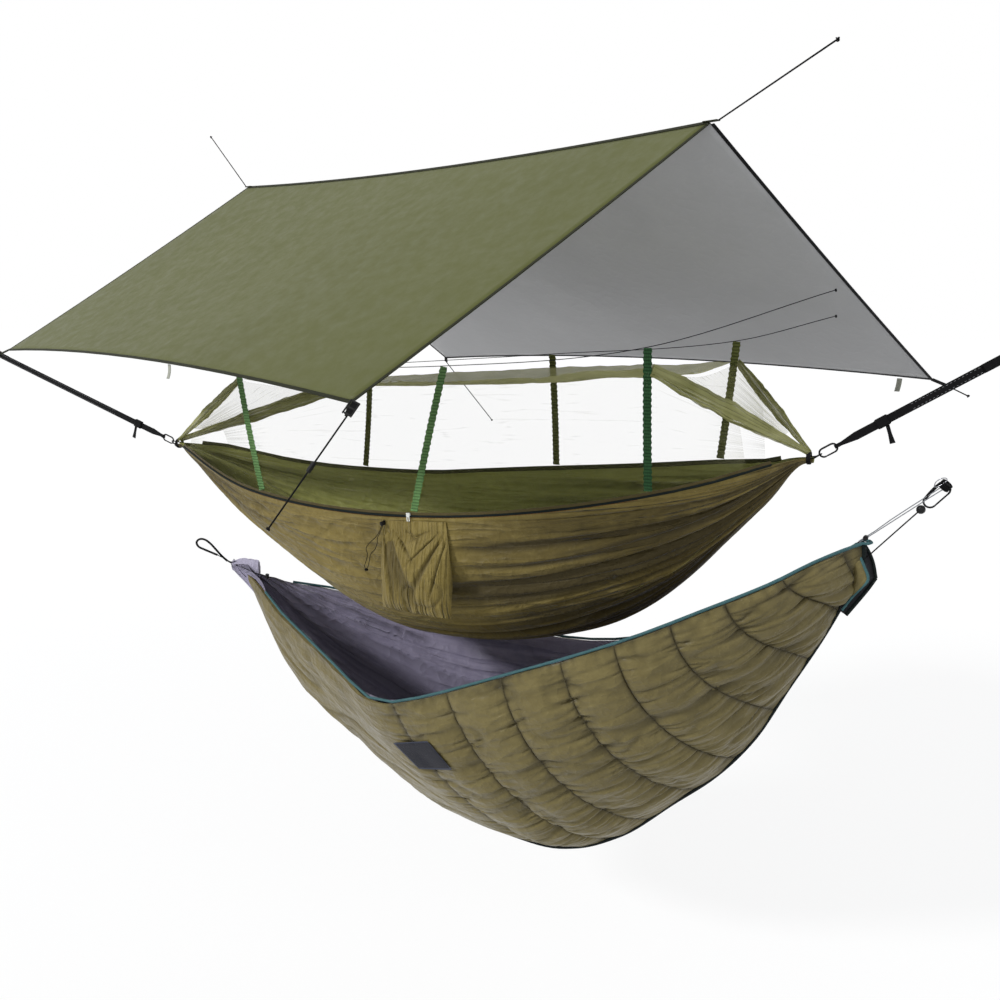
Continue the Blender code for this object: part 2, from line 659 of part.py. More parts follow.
def bed_panels():
    """Two side panels and a bottom panel, cut from one folded surface so that they meet edge to edge."""
    split = math.radians(SIDE_PANEL_TURN)
    step = (math.pi / 2 - split) / BOTTOM_FOLD_STEPS
    half = [(split * k / SIDE_FOLD_STEPS, k % 2 if k > 1 else 0) for k in range(SIDE_FOLD_STEPS + 1)]
    half += [(split + step * k, k % 2) for k in range(1, BOTTOM_FOLD_STEPS + 1)]
    columns = [(-1, turn, fold) for turn, fold in half] + [(1, turn, fold) for turn, fold in half[-2::-1]]
    rows = [[folded(side, t, turn, fold) for side, turn, fold in columns] for t in BED_STATION_SHARES]
    normals = grid_normals(rows)
    near_seam, far_seam = SIDE_FOLD_STEPS, len(columns) - 1 - SIDE_FOLD_STEPS
    for name, first, last in (("bed_near_panel", 0, near_seam), ("bed_bottom_panel", near_seam, far_seam),
                              ("bed_far_panel", far_seam, len(columns) - 1)):
        panel = []
        for t, row in zip(BED_STATION_SHARES, rows):
            cut = row[first:last + 1]
            if first > 0:
                side = columns[first][0]
                cut[0] = bed_point(side, t, split - side * seam_turn(t, side))
            if last < len(columns) - 1:
                side = columns[last][0]
                cut[-1] = bed_point(side, t, split + side * seam_turn(t, side))
            panel.append(cut)
        sheet(name, panel, CLOTH, "bed_olive", [line[first:last + 1] for line in normals])


def lift(points, height):
    return [p + UP * height for p in points]


def zip_height():
    return CLOTH / 2 + GAP + ZIP_TAPE_WIDTH / 2


def rim_shares(start):
    """The bed's own stations that are at least this share from both ends."""
    return [t for t in BED_STATION_SHARES if start <= t <= 1 - start]


def rim_tapes():
    shares = rim_shares(ZIP_START_SHARE)
    near = lift([near_rim(t) for t in shares], zip_height())
    strip("zip_tape_near", near, ZIP_TAPE_WIDTH, ZIP_TAPE_THICKNESS, UP, "rim_slate")
    far = lift([far_rim(t) for t in shares], zip_height())
    strip("rim_tape_far", far, ZIP_TAPE_WIDTH, ZIP_TAPE_THICKNESS, UP, "rim_slate")


def share_at_run(run):
    """The share of the near rim at a run from the left gather, inside its arc."""
    low, high = ARC_START_SHARE, ARC_END_SHARE
    for _ in range(40):
        middle = (low + high) / 2
        if near_rim(middle).x - LEFT_GATHER.x < run:
            low = middle
        else:
            high = middle
    return low


def zip_slider():
    """Slider and pull tab; its origin is on the axis of the rim's arc."""
    t = share_at_run(SLIDER_RUN)
    turn = ARC_SWEEP * (t - ARC_START_SHARE) / (ARC_END_SHARE - ARC_START_SHARE)
    along = arc_tangent(turn)
    place = frame_at(near_rim(t) + UP * zip_height(), along, UP)
    off = ZIP_TAPE_THICKNESS / 2 + GAP + SLIDER_THICKNESS / 2
    body = box_at("zip_slider", (SLIDER_LENGTH, SLIDER_THICKNESS, SLIDER_HEIGHT), "zip_white",
                  place @ Matrix.Translation((0, -off, 0)), SLIDER_THICKNESS / 5)
    front = off + SLIDER_THICKNESS / 2 - PULL_THICKNESS / 2
    drop = SLIDER_HEIGHT / 4 + PULL_LENGTH / 2
    hang = place @ Matrix.Translation((0, -front, -drop + SLIDER_HEIGHT / 2))
    pull = box_at("zip_pull_guide", (PULL_WIDTH, PULL_THICKNESS, PULL_LENGTH), None, hang)
    slot = box_at("zip_slot_guide", (PULL_SLOT_WIDTH, SLIDER_THICKNESS * 3, PULL_SLOT_LENGTH), None,
                  hang @ Matrix.Translation((0, 0, -PULL_LENGTH / 5)))
    combine(body, pull, "UNION")
    combine(body, slot, "DIFFERENCE")
    set_pivot(body, Matrix.Translation(ARC_CENTRE))


def set_pivot(made, pivot):
    """Move an object's origin to its pivot and leave its shape where it is."""
    made.data.transform(pivot.inverted() @ made.matrix_world)
    made.matrix_world = pivot


# Straps and hardware

def strap(name, anchor, gather, finish):
    """A webbing strap with a sewn eye at the tree end and a narrow eye on the carabiner."""
    along = (gather - anchor).normalized()
    thick = ACROSS
    wide = thick.cross(along)
    reach = (gather - anchor).length - ring_reach()
    layer = STRAP_THICKNESS + GAP
    path = []
    widths = []

    def put(distance, out, width):
        path.append(anchor + along * distance + thick * out)
        widths.append(width)

    put(STRAP_EYE_LENGTH + STRAP_OVERLAP, layer / 2, STRAP_WIDTH)
    put(STRAP_EYE_LENGTH + STRAP_THICKNESS * 3, layer / 2, STRAP_WIDTH)
    bow = STRAP_EYE_SPREAD / 2
    for k in range(9):
        turn = math.pi * k / 8
        put(bow * (1 - math.sin(turn)) + (STRAP_EYE_LENGTH - bow) * (1 - math.sin(turn)) ** 2,
            bow * math.cos(turn), STRAP_WIDTH)
    put(STRAP_EYE_LENGTH + STRAP_THICKNESS * 3, -layer / 2, STRAP_WIDTH)
    run = reach - STRAP_EYE_LENGTH - STRAP_OVERLAP
    put(STRAP_EYE_LENGTH + STRAP_OVERLAP, -layer / 2, STRAP_WIDTH)
    put(STRAP_EYE_LENGTH + STRAP_OVERLAP + run * 0.5, -layer / 2, STRAP_WIDTH)
    put(reach - STRAP_OVERLAP, -layer / 2, STRAP_WIDTH)
    small_bow = CARABINER_ROD / 2 + GAP * 3 + STRAP_THICKNESS / 2
    inset = eye_inset() + GAP * 2
    put(reach - small_bow * 3, -layer / 2, STRAP_NECK_WIDTH)
    for k in range(9):
        turn = math.pi * k / 8
        put(reach + (small_bow + inset) * math.sin(turn), -small_bow * math.cos(turn), STRAP_NECK_WIDTH)
    put(reach - small_bow * 3, layer / 2, STRAP_NECK_WIDTH)
    put(reach - STRAP_OVERLAP, layer / 2, STRAP_WIDTH)
    body = strip(name, path, widths, STRAP_THICKNESS, wide, finish)
    knot_at = anchor + along * ((gather - anchor).length - KNOT_FROM_BED)
    place = frame_at(knot_at, along, wide)
    knot = box_at(name + "_knot_guide", (KNOT_LENGTH, KNOT_DEPTH, STRAP_WIDTH * 1.25), None, place,
                  KNOT_DEPTH / 4)
    combine(body, knot, "UNION")
    toward = Vector((along.x, 0, 0)).normalized()
    start = knot_at - toward * (KNOT_LENGTH / 3) - UP * (STRAP_WIDTH / 4)
    tail_path = [start - UP * (KNOT_TAIL_LENGTH * f) - toward * (KNOT_TAIL_LENGTH * 0.35 * f) for f in (0, 0.5, 1)]
    tail = strip(name + "_tail_guide", tail_path, [KNOT_TAIL_WIDTH, KNOT_TAIL_WIDTH, KNOT_TAIL_WIDTH * 1.5],
                 STRAP_THICKNESS * 1.5, toward, None)
    combine(body, tail, "UNION")
    return body


def eye_inset():
    """How far the round end of a carabiner draws back across the width of a strap's neck."""
    bow = (CARABINER_WIDTH - CARABINER_ROD) / 2
    half = STRAP_NECK_WIDTH / 2
    return bow - math.sqrt(bow * bow - half * half)


def ring_reach():
    """From the bed's gather to the carabiner's outer rod centre."""
    return bar_offset() + CARABINER_LENGTH - CARABINER_ROD


def bar_offset():
    """From the bed's gather to the carabiner's inner rod centre."""
    return CARABINER_ROD * 3.4


def carabiner(name, inner_bar, along, wide, length, width, finish, gate_side):
    """A bent rod with a sprung gate; X runs from the hinge end to the nose end."""
    bow = (width - CARABINER_ROD) / 2
    half = (length - CARABINER_ROD) / 2
    straight = half - bow
    place = frame_at(inner_bar + along * half, along, wide * gate_side)
    points = []
    for k in range(9):
        turn = math.radians(-90 - 180 * k / 8)
        points.append(Vector((-straight + bow * math.cos(turn), 0, bow * math.sin(turn))))
    for k in range(9):
        turn = math.radians(90 - 180 * k / 8)
        points.append(Vector((straight + bow * math.cos(turn), 0, bow * math.sin(turn))))
    rings = swept_rings(points, CARABINER_ROD / 2)
    flat_start = [Vector((-straight, p.y, p.z)) for p in rings[0]]
    flat_end = [Vector((straight, p.y, p.z)) for p in rings[-1]]
    body = loft(name, [flat_start] + rings[1:-1] + [flat_end], finish, place)
    pin_x = -straight + PIN_FROM_ROD_END
    tongue_end = pin_x + TONGUE_PAST_PIN
    tongue_start = -straight - CARABINER_ROD / 4
    tongue = box_at(name + "_tongue_guide", (tongue_end - tongue_start, TONGUE_THICKNESS, TONGUE_HEIGHT), None,
                    place @ Matrix.Translation(((tongue_end + tongue_start) / 2, 0, -bow)))
    combine(body, tongue, "UNION")
    pin_place = place @ Matrix.Translation((pin_x, 0, -bow)) @ Matrix.Rotation(math.pi / 2, 4, "X")
    half_pin = GATE_DIAMETER / 2
    pin = turned(name + "_pin_guide", ((GATE_PIN / 2, -half_pin), (GATE_PIN / 2, half_pin)), None, pin_place, 10)
    combine(body, pin, "UNION")
    gate_start = pin_x - GATE_DIAMETER / 2
    gate_end = straight - GATE_CLEARANCE
    radius = GATE_DIAMETER / 2
    cross = []
    for x, r in ((gate_start, radius * 0.72), (gate_start + radius * 0.3, radius), (gate_end, radius)):
        cross.append([Vector((x, r * math.cos(2 * math.pi * k / RING_STEPS), r * math.sin(2 * math.pi * k / RING_STEPS)))
                      for k in range(RING_STEPS)])
    gate_place = place @ Matrix.Translation((0, 0, -bow))
    gate = loft(name + "_gate", cross, finish, gate_place)
    slot_end = pin_x + SLOT_PAST_PIN
    slot_start = gate_start - radius
    slot = box_at(name + "_slot_guide", (slot_end - slot_start, TONGUE_THICKNESS + 2 * GATE_CLEARANCE, GATE_DIAMETER * 2),
                  None, gate_place @ Matrix.Translation(((slot_end + slot_start) / 2, 0, 0)))
    combine(gate, slot, "DIFFERENCE")
    hole_radius = GATE_PIN / 2 + GATE_CLEARANCE
    hole = turned(name + "_hole_guide", ((hole_radius, -GATE_DIAMETER), (hole_radius, GATE_DIAMETER)), None,
                  pin_place, 10)
    combine(gate, hole, "DIFFERENCE")
    set_pivot(gate, place @ Matrix.Translation((pin_x, 0, -bow)))


def gather_rope(name, gather, inward, along, wide):
    """Lashing round the gathered cloth and the loop that goes over the carabiner's bar."""
    inner = NECK_RADIUS + NECK_WALL / 2 + GAP
    outer = inner + LASHING_THICKNESS
    middle = gather + inward * LASHING_FROM_END
    place = frame_at(middle, inward, UP)
    half = LASHING_LENGTH / 2
    rings = []
    for radius, x in ((inner, -half), (inner, half), (outer - GAP * 5, half), (outer, half * 0.6),
                      (outer, -half * 0.6), (outer - GAP * 5, -half)):
        rings.append([Vector((x, radius * math.cos(2 * math.pi * k / 20), radius * math.sin(2 * math.pi * k / 20)))
                      for k in range(20)])
    verts = [p for ring in rings for p in ring]
    faces = []
    for r in range(len(rings)):
        for k in range(20):
            a, b = r * 20 + k, r * 20 + (k + 1) % 20
            c, d = ((r + 1) % len(rings)) * 20 + (k + 1) % 20, ((r + 1) % len(rings)) * 20 + k
            faces.append((a, b, c, d))
    body = mesh_object(name, verts, faces, "webbing_black", place)
    bow = CARABINER_ROD / 2 + GAP * 2 + ROPE_DIAMETER / 2
    bar = gather + along * bar_offset()
    middle_out = (inner + outer) / 2
    points = [middle + ACROSS * middle_out, gather + along * ROPE_DIAMETER + ACROSS * middle_out,
              bar - along * bow + ACROSS * (bow * 1.7)]
    for k in range(7):
        turn = math.pi * k / 6
        points.append(bar + ACROSS * (bow * math.cos(turn)) + along * (bow * math.sin(turn)))
    points += [bar - along * bow - ACROSS * (bow * 1.7),
               gather + along * ROPE_DIAMETER - ACROSS * middle_out, middle - ACROSS * middle_out]
    rope = loft(name + "_guide", swept_rings(points, ROPE_DIAMETER / 2, 10), None)
    combine(body, rope, "UNION")


def suspension():
    line = (RIGHT_GATHER - LEFT_GATHER).normalized()
    for side, anchor, gather, inward in (
            ("left", Vector((0, 0, 0)), LEFT_GATHER, line), ("right", RIGHT_ANCHOR, RIGHT_GATHER, -line)):
        along = (anchor - gather).normalized()
        wide = along.cross(ACROSS)
        wide = wide if wide.z > 0 else -wide
        strap("tree_strap_" + side, anchor, gather, "webbing_black")
        carabiner("carabiner_" + side, gather + along * bar_offset(), along, wide, CARABINER_LENGTH,
                  CARABINER_WIDTH, "anodised_black", 1)
        gather_rope("gather_rope_" + side, gather, inward, along, wide)


# Net

def net_place(side, place):
    """A point over the roof's edge, from its shares of the hammock's span and the net's height."""
    return LEFT_GATHER + Vector((HAMMOCK_SPAN * place[0], side * ROOF_HALF_WIDTH, NET_HEIGHT * place[1]))


def roof_edge(side, f):
    """A point on the roof's long edge, from its left corner to its right corner."""
    corners = [net_place(side, place) for place in (NEAR_ROOF_SHARES if side < 0 else FAR_ROOF_SHARES)]
    table = ((0, 0.0), (0.5, 1.0), (1, 0.0))
    straight = corners[0].lerp(corners[2], f)
    offset = corners[1] - corners[0].lerp(corners[2], 0.5)
    return straight + offset * share_at(table, f)


def hip_line(side, end, f, over=0.0):
    """A point on a hip band, from the gathered end to the roof's corner.

    over is 0 on the band's middle line, 1 just past its upper edge and -1 just past its lower one.
    """
    gather, corner = (LEFT_GATHER, roof_edge(side, 0)) if end < 0 else (RIGHT_GATHER, roof_edge(side, 1))
    neck = Vector((-end * 3, side * 0.5, 1.6)) * NECK_RADIUS
    start = gather + neck
    across = hip_across(side, corner - start)
    return start.lerp(corner, f) + across * (over * (hip_width(f) / 2 + 2 * GAP))


def hip_across(side, along):
    across = Vector((0, -side, 0.9))
    return (across - along * (across.dot(along) / along.length_squared)).normalized()


def hip_width(f):
    return HIP_WIDTH * (0.45 + 0.55 * f)


def corner_shares(side):
    """Where the roof's left and right corners stand along the bed."""
    return [(roof_edge(side, f).x - LEFT_GATHER.x) / HAMMOCK_SPAN for f in (0, 1)]


def wall_top(side, t):
    left_share, right_share = corner_shares(side)
    if t <= left_share:
        return hip_line(side, -1, t / left_share, -1)
    if t >= right_share:
        return hip_line(side, 1, (1 - t) / (1 - right_share), -1)
    below = UP * (NET_CLOTH + 2 * GAP)
    return roof_edge(side, (t - left_share) / (right_share - left_share)) - below


def wall_point(side, t, w):
    """A point of a net wall; w runs from the rim tape to the roof edge or hip band."""
    rim = (near_rim(t) if side < 0 else far_rim(t)) + UP * (ZIP_TAPE_WIDTH + CLOTH + 2 * GAP)
    return rim.lerp(wall_top(side, t), w)


def net_walls():
    for name, side in (("net_near_wall", -1), ("net_far_wall", 1)):
        left_share, right_share = corner_shares(side)
        step = HIP_WIDTH / 2 / HAMMOCK_SPAN
        shares = rim_shares(NET_START_SHARE) + [left_share, left_share + step, right_share - step, right_share]
        rows = [[wall_point(side, t, k / 3) for k in range(4)] for t in sorted(shares)]
        sheet(name, rows, NET_CLOTH, "net_olive")


def net_roof():
    rows = []
    for i in range(13):
        f = 0.01 + 0.98 * i / 12
        near, far = roof_edge(-1, f), roof_edge(1, f)
        sag = UP * (ROOF_HALF_WIDTH * 0.12)
        rows.append([near.lerp(far, k / 5) - sag * (4 * k * (5 - k) / 25) for k in range(6)])
    sheet("net_roof", rows, NET_CLOTH, "net_olive")


def net_ends():
    for name, end in (("net_left_end", -1), ("net_right_end", 1)):
        rows = []
        for i in range(9):
            f = 0.16 + 0.8 * i / 8
            near, far = hip_line(-1, end, f, 1), hip_line(1, end, f, 1)
            sag = UP * (ROOF_HALF_WIDTH * 0.16 * f)
            rows.append([near.lerp(far, k / 4) - sag * (k * (4 - k) / 4) for k in range(5)])
        sheet(name, rows, NET_CLOTH, "net_olive")
        for side, word in ((-1, "near"), (1, "far")):
            points = [hip_line(side, end, 0.02 + 0.955 * k / 8) for k in range(9)]
            widths = [hip_width(0.02 + 0.955 * k / 8) for k in range(9)]
            hip = "hip_seam_" + word + ("_left" if end < 0 else "_right")
            strip(hip, points, widths, HIP_THICKNESS, hip_across(side, points[-1] - points[0]), "net_olive")


def ribbons():
    """Six ribbons from the rim to the ridge cords, each turned over its cord."""
    near_net = NET_CLOTH / 2 + 2 * GAP + RIBBON_THICKNESS / 2
    groups = ((-1, "near", NEAR_FEET_SHARES, NEAR_CORD_TOP_SHARES, NEAR_ROOF_SHARES, NEAR_CORD_END),
              (1, "far", FAR_FEET_SHARES, FAR_CORD_TOP_SHARES, FAR_ROOF_SHARES, FAR_CORD_END))
    for side, word, feet, tops, roof, end in groups:
        cord_points = [net_place(side, place) for place in tops] + [Vector(end)]
        for number in range(3):
            foot_share = feet[number]
            left_share, right_share = corner_shares(side)
            inset = (HIP_WIDTH / 2 + RIBBON_WIDTH * 0.6) / HAMMOCK_SPAN
            edge_share = min(max(roof[number][0], left_share + inset), right_share - inset)
            foot, head = wall_point(side, foot_share, 0.006), wall_point(side, edge_share, 1)
            low = (wall_point(side, foot_share + inset, 0) - foot).normalized()
            high = (roof_edge(side, 1) - roof_edge(side, 0)).normalized()
            path, across = [], []
            for k in range(5):
                w = k / 4
                ahead = low.lerp(high, w).normalized()
                normal = ahead.cross(head - foot).normalized()
                normal = normal if normal.y * side > 0 else -normal
                off = near_net + RIBBON_OFF_NET * min(w * 4, 1) + RIBBON_OFF_CORNER * w * (number % 2 == 0)
                path.append(foot.lerp(head, w) + normal * off)
                across.append(ahead)
            run = tangent_at(cord_points, number)
            top = cord_points[number]
            slack = RIBBON_BEND_SLACK if number == 2 else RIBBON_SLACK
            bow = RIDGE_CORD_DIAMETER / 2 + slack + RIBBON_THICKNESS / 2
            path.append(top + Vector((0, side * (bow + slack), -2 * RIDGE_CORD_DIAMETER)))
            for k in range(5):
                turn = math.pi * k / 4
                path.append(top + Vector((0, side * bow * math.cos(turn), bow * math.sin(turn))))
            path.append(top + Vector((0, -side * bow, -RIBBON_TURNBACK)))
            across += [run] * (len(path) - len(across))
            strip("ribbon_%s_%d" % (word, number + 1), path, RIBBON_WIDTH, RIBBON_THICKNESS, across,
                  "ribbon_green")


def ridge_cords():
    for word, side, places, end in (("near", -1, NEAR_CORD_TOP_SHARES, NEAR_CORD_END),
                                    ("far", 1, FAR_CORD_TOP_SHARES, FAR_CORD_END)):
        tops = [net_place(side, place) for place in places]
        start = tops[0] + (tops[0] - tops[1]).normalized() * RIBBON_WIDTH
        route = [tuple(p) for p in [start] + tops] + [end]
        cord("ridge_cord_" + word, route, RIDGE_CORD_DIAMETER, "webbing_black")


# Fly sheet

FLY_ALONG = Vector((math.cos(math.radians(FLY_YAW)), math.sin(math.radians(FLY_YAW)), 0))
FLY_ACROSS = Vector((-FLY_ALONG.y, FLY_ALONG.x, 0))
FLY_FRONT_APEX = Vector(FLY_FRONT)
FLY_REAR_APEX = FLY_FRONT_APEX - FLY_ALONG * FLY_RIDGE + UP * FLY_REAR_RISE


def fly_foot(apex, foot):
    along, across, fall = foot
    return apex + FLY_ALONG * along + FLY_ACROSS * across + UP * fall


NEAR_FRONT = fly_foot(FLY_FRONT_APEX, NEAR_FOOT)
NEAR_REAR = fly_foot(FLY_REAR_APEX, NEAR_REAR_FOOT)
FAR_FRONT = fly_foot(FLY_FRONT_APEX, FAR_FOOT)
FAR_REAR = fly_foot(FLY_REAR_APEX, FAR_REAR_FOOT)


def ridge_point(f):
    return FLY_REAR_APEX.lerp(FLY_FRONT_APEX, f) - UP * (FLY_RIDGE_SAG * 4 * f * (1 - f))


def fly_point(side, f, w):
    """A point of a fly panel: f runs from rear to front, w from the ridge to the hem."""
    foot = (NEAR_REAR.lerp(NEAR_FRONT, f) if side < 0 else FAR_REAR.lerp(FAR_FRONT, f))
    foot = foot + UP * (HEM_LIFT * 4 * f * (1 - f))
    point = ridge_point(f).lerp(foot, w)
    inward = UP - FLY_ACROSS * (side * 0.5)
    return point - inward * (PANEL_BILLOW * 4 * w * (1 - w) * (0.35 + 0.65 * 4 * f * (1 - f)))


def panel_share(k):
    """Columns of a fly panel, from just below the ridge tape's fold to the hem."""
    inset = RIDGE_INSET / (FAR_FRONT - FLY_FRONT_APEX).length
    return inset + (1 - inset) * k / (FLY_COLUMNS - 1)


def fly_panels():
    for name, side, finish in (("fly_near_panel", -1, "fly_olive"), ("fly_far_panel", 1, "fly_grey")):
        rows = []
        for i in range(FLY_ROWS + 1):
            f = i / FLY_ROWS
            rows.append([fly_point(side, f, panel_share(k)) for k in range(FLY_COLUMNS)])
        sheet(name, rows, CLOTH, finish)


def fly_ridge_tape():
    """Folded tape over the ridge, with a webbing tab sewn on at each end."""
    points = [ridge_point(i / 14) for i in range(15)]
    drop = UP * (CLOTH * 0.65 + 3 * GAP)
    rings = []
    for i, point in enumerate(points):
        along = tangent_at(points, i)
        over = along.cross(UP).normalized()
        wing = RIDGE_TAPE_WIDTH / 2
        slope_near = (-over * 0.0 + FLY_ACROSS * -1.0 - UP * 0.75).normalized() * wing
        slope_far = (FLY_ACROSS - UP * 0.68).normalized() * wing
        top = UP * RIDGE_TAPE_THICKNESS
        base = point + drop
        rings.append([base + slope_near, base, base + slope_far, base + slope_far + top, base + top,
                      base + slope_near + top])
    body = loft("fly_ridge_tape", rings, "fly_olive", sharp_degrees=30)
    for name, apex, sign in (("front", FLY_FRONT_APEX, 1), ("rear", FLY_REAR_APEX, -1)):
        join_tab(body, "fly_tab_guide_" + name, apex + drop, FLY_ALONG * sign, UP, RIDGE_TAB_START)


def join_tab(body, name, corner, outward, flat, start):
    outward = outward.normalized()
    place = frame_at(corner + outward * (start + TAB_LENGTH / 2), outward, flat)
    tab = box_at(name, (TAB_LENGTH, TAB_WIDTH, TAB_THICKNESS), None, place, TAB_THICKNESS / 4)
    combine(body, tab, "UNION")


def hem_mitre(side, f, w):
    """The way out from a fly panel's edge, lengthened at a corner so that hems meet in a mitre."""
    along = (fly_point(side, min(f + GAP, 1), w) - fly_point(side, max(f - GAP, 0), w)).normalized()
    down = (fly_point(side, f, min(w + GAP, 1)) - fly_point(side, f, w - GAP)).normalized()
    ways = []
    if f in (0, 1):
        ways.append((along - down * along.dot(down)).normalized() * (1 if f else -1))
    if w == 1:
        ways.append((down - along * down.dot(along)).normalized())
    if len(ways) == 1:
        return ways[0]
    return (ways[0] + ways[1]) / (1 + ways[0].dot(ways[1]))


def fly_bindings():
    """Hem binding on the three free edges of each panel, with a tab on each corner."""
    for name, side, finish in (("fly_near_binding", -1, "fly_olive"), ("fly_far_binding", 1, "binding_black")):
        shares = [panel_share(0) * 1.7] + [panel_share(k) for k in range(1, FLY_COLUMNS)]
        edge = [(0, w) for w in shares] + [(k / FLY_ROWS, 1) for k in range(1, FLY_ROWS)]
        edge += [(1, w) for w in reversed(shares)]
        points, across, widths = [], [], []
        for f, w in edge:
            mitre = hem_mitre(side, f, w)
            points.append(fly_point(side, f, w) + mitre * (BINDING_WIDTH / 2 + GAP))
            across.append(mitre)
            widths.append(BINDING_WIDTH * mitre.length)
        body = strip(name, points, widths, BINDING_THICKNESS, across, finish)
        for word, f in (("front", 1), ("rear", 0)):
            join_tab(body, name + "_tab_guide_" + word, fly_point(side, f, 1), hem_mitre(side, f, 1),
                     UP + FLY_ACROSS * (side * 0.8), CORNER_TAB_START)


def guy_start(side, f):
    """Where a corner guyline leaves its tab."""
    reach = CORNER_TAB_START + TAB_LENGTH + GUYLINE_DIAMETER / 2
    return fly_point(side, f, 1) + hem_mitre(side, f, 1).normalized() * reach


def guylines():
    for name, side, f, end in (("near_front", -1, 1, NEAR_FRONT_GUY), ("near_rear", -1, 0, NEAR_REAR_GUY),
                               ("far_front", 1, 1, FAR_FRONT_GUY), ("far_rear", 1, 0, FAR_REAR_GUY)):
        cord("guyline_" + name, (guy_start(side, f), end), GUYLINE_DIAMETER, "webbing_black")
    lift_by = UP * (CLOTH * 0.65 + 3 * GAP)
    reach = RIDGE_TAB_START + TAB_LENGTH + GUYLINE_DIAMETER / 4 + GAP
    for name, apex, sign, end in (("front", FLY_FRONT_APEX, 1, FRONT_GUY), ("rear", FLY_REAR_APEX, -1, REAR_GUY)):
        start = apex + lift_by + FLY_ALONG * (sign * reach)
        cord("guyline_" + name, (start, end), GUYLINE_DIAMETER, "webbing_black")


def tensioner():
    """A slotted runner that slides on the near front guyline."""
    start = guy_start(-1, 1)
    along = (Vector(NEAR_FRONT_GUY) - start).normalized()
    middle = start + along * (TENSIONER_FROM_FOOT - TAB_LENGTH)
    place = frame_at(middle, along, ACROSS)
    body = box_at("guyline_tensioner", (TENSIONER_LENGTH, TENSIONER_DEPTH, TENSIONER_WIDTH), "plastic_black", place,
                  TENSIONER_DEPTH / 4)
    turn = Matrix.Rotation(math.pi / 2, 4, "Y")
    bore_radius = GUYLINE_DIAMETER / 2 + GAP * 2
    bore = turned("tensioner_bore_guide", ((bore_radius, -TENSIONER_LENGTH), (bore_radius, TENSIONER_LENGTH)), None,
                  place @ turn, 12)
    combine(body, bore, "DIFFERENCE")


# Pouch and cord locks

def pouch():
    """A flat stuff sack that hangs from the rim, full near the bottom and folded to one corner."""
    t = share_at_run(POUCH_RUN)
    rim = near_rim(t)
    turn = ARC_SWEEP * (t - ARC_START_SHARE) / (ARC_END_SHARE - ARC_START_SHARE)
    along = arc_tangent(turn)
    out = -ACROSS
    top = rim + out * POUCH_SEAT - UP * POUCH_BELOW_RIM
    steps = 14
    rings = []
    for i in range(steps + 1):
        f = i / steps
        half = (POUCH_TOP_WIDTH + (POUCH_WIDTH - POUCH_TOP_WIDTH) * share_at(POUCH_WIDTH_SHARES, f)) / 2
        depth = POUCH_HEM_DEPTH + (POUCH_DEPTH - POUCH_HEM_DEPTH) * share_at(POUCH_DEPTH_SHARES, f)
        ring = []
        across_steps = 13
        for k in range(across_steps):
            s = -1 + 2 * k / (across_steps - 1)
            swell = math.sqrt(max(0, 1 - abs(s) ** 3)) * 0.9 + 0.1
            fold = POUCH_FOLD_DEPTH * math.sin(math.pi * POUCH_FOLDS * (s + 0.4 * f)) * share_at(POUCH_DEPTH_SHARES, f)
            place = top + along * (half * s) - UP * (POUCH_HEIGHT * f)
            place += UP * (POUCH_SLANT * (1 - s) / 2 * f * f)
            ring.append(place + out * (depth * swell + fold * (1 - s * s)))
        back = []
        for k in range(across_steps):
            s = 1 - 2 * k / (across_steps - 1)
            place = top + along * (half * s) - UP * (POUCH_HEIGHT * f) + UP * (POUCH_SLANT * (1 - s) / 2 * f * f)
            back.append(place)
        rings.append(ring + back)
    loft("pouch", rings, "bed_olive", sharp_degrees=50)


def cord_lock(name, place, cord_width, cord_height, with_button):
    """A barrel with a cross hole for its cords and, in its open top, a sprung button."""
    radius = LOCK_DIAMETER / 2
    half = LOCK_HEIGHT / 2
    rounding = radius * 0.18
    body = turned(name, ((radius - rounding, -half), (radius, -half + rounding), (radius, half - rounding),
                         (radius - rounding, half)), "plastic_black", place)
    hole_size = (LOCK_DIAMETER * 2, cord_width + LOCK_CLEARANCE * 2, cord_height + LOCK_CLEARANCE * 2)
    hole = box_at(name + "_hole_guide", hole_size, None, place @ Matrix.Translation((0, 0, -half / 3)))
    combine(body, hole, "DIFFERENCE")
    if not with_button:
        return
    bore_radius = BUTTON_DIAMETER / 2 + GAP
    bore_floor = half - BUTTON_DEPTH - BUTTON_TRAVEL - 2 * GAP
    bore = turned(name + "_bore_guide", ((bore_radius, bore_floor), (bore_radius, half * 2)), None, place, 16)
    combine(body, bore, "DIFFERENCE")
    crown = BUTTON_DIAMETER / 2
    turned(name + "_button", ((crown, half - BUTTON_DEPTH), (crown, half + BUTTON_PROUD - crown * 0.3),
                              (crown * 0.75, half + BUTTON_PROUD)), "plastic_black", place)


def pouch_lock():
    points = [Vector(p) for p in POUCH_CORD_ROUTE]
    top = (points[1] + points[-2]) / 2
    below = (points[3] + points[-4]) / 2
    cord("pouch_drawcord", POUCH_CORD_ROUTE, DRAWCORD_DIAMETER, "webbing_black")
    along = (top - below).normalized()
    spread = (points[-2] - points[1]).normalized()
    place = frame_at(top, along, spread.cross(along))
    width = (points[-2] - points[1]).length + DRAWCORD_DIAMETER
    cord_lock("pouch_cord_lock", place @ Matrix.Translation((0, 0, LOCK_HEIGHT / 6)), width,
              DRAWCORD_DIAMETER, True)


# Quilt

def quilt_line(p):
    start = Vector(QUILT_START)
    return start + Vector((QUILT_SPAN * p, 0, QUILT_RISE * p))


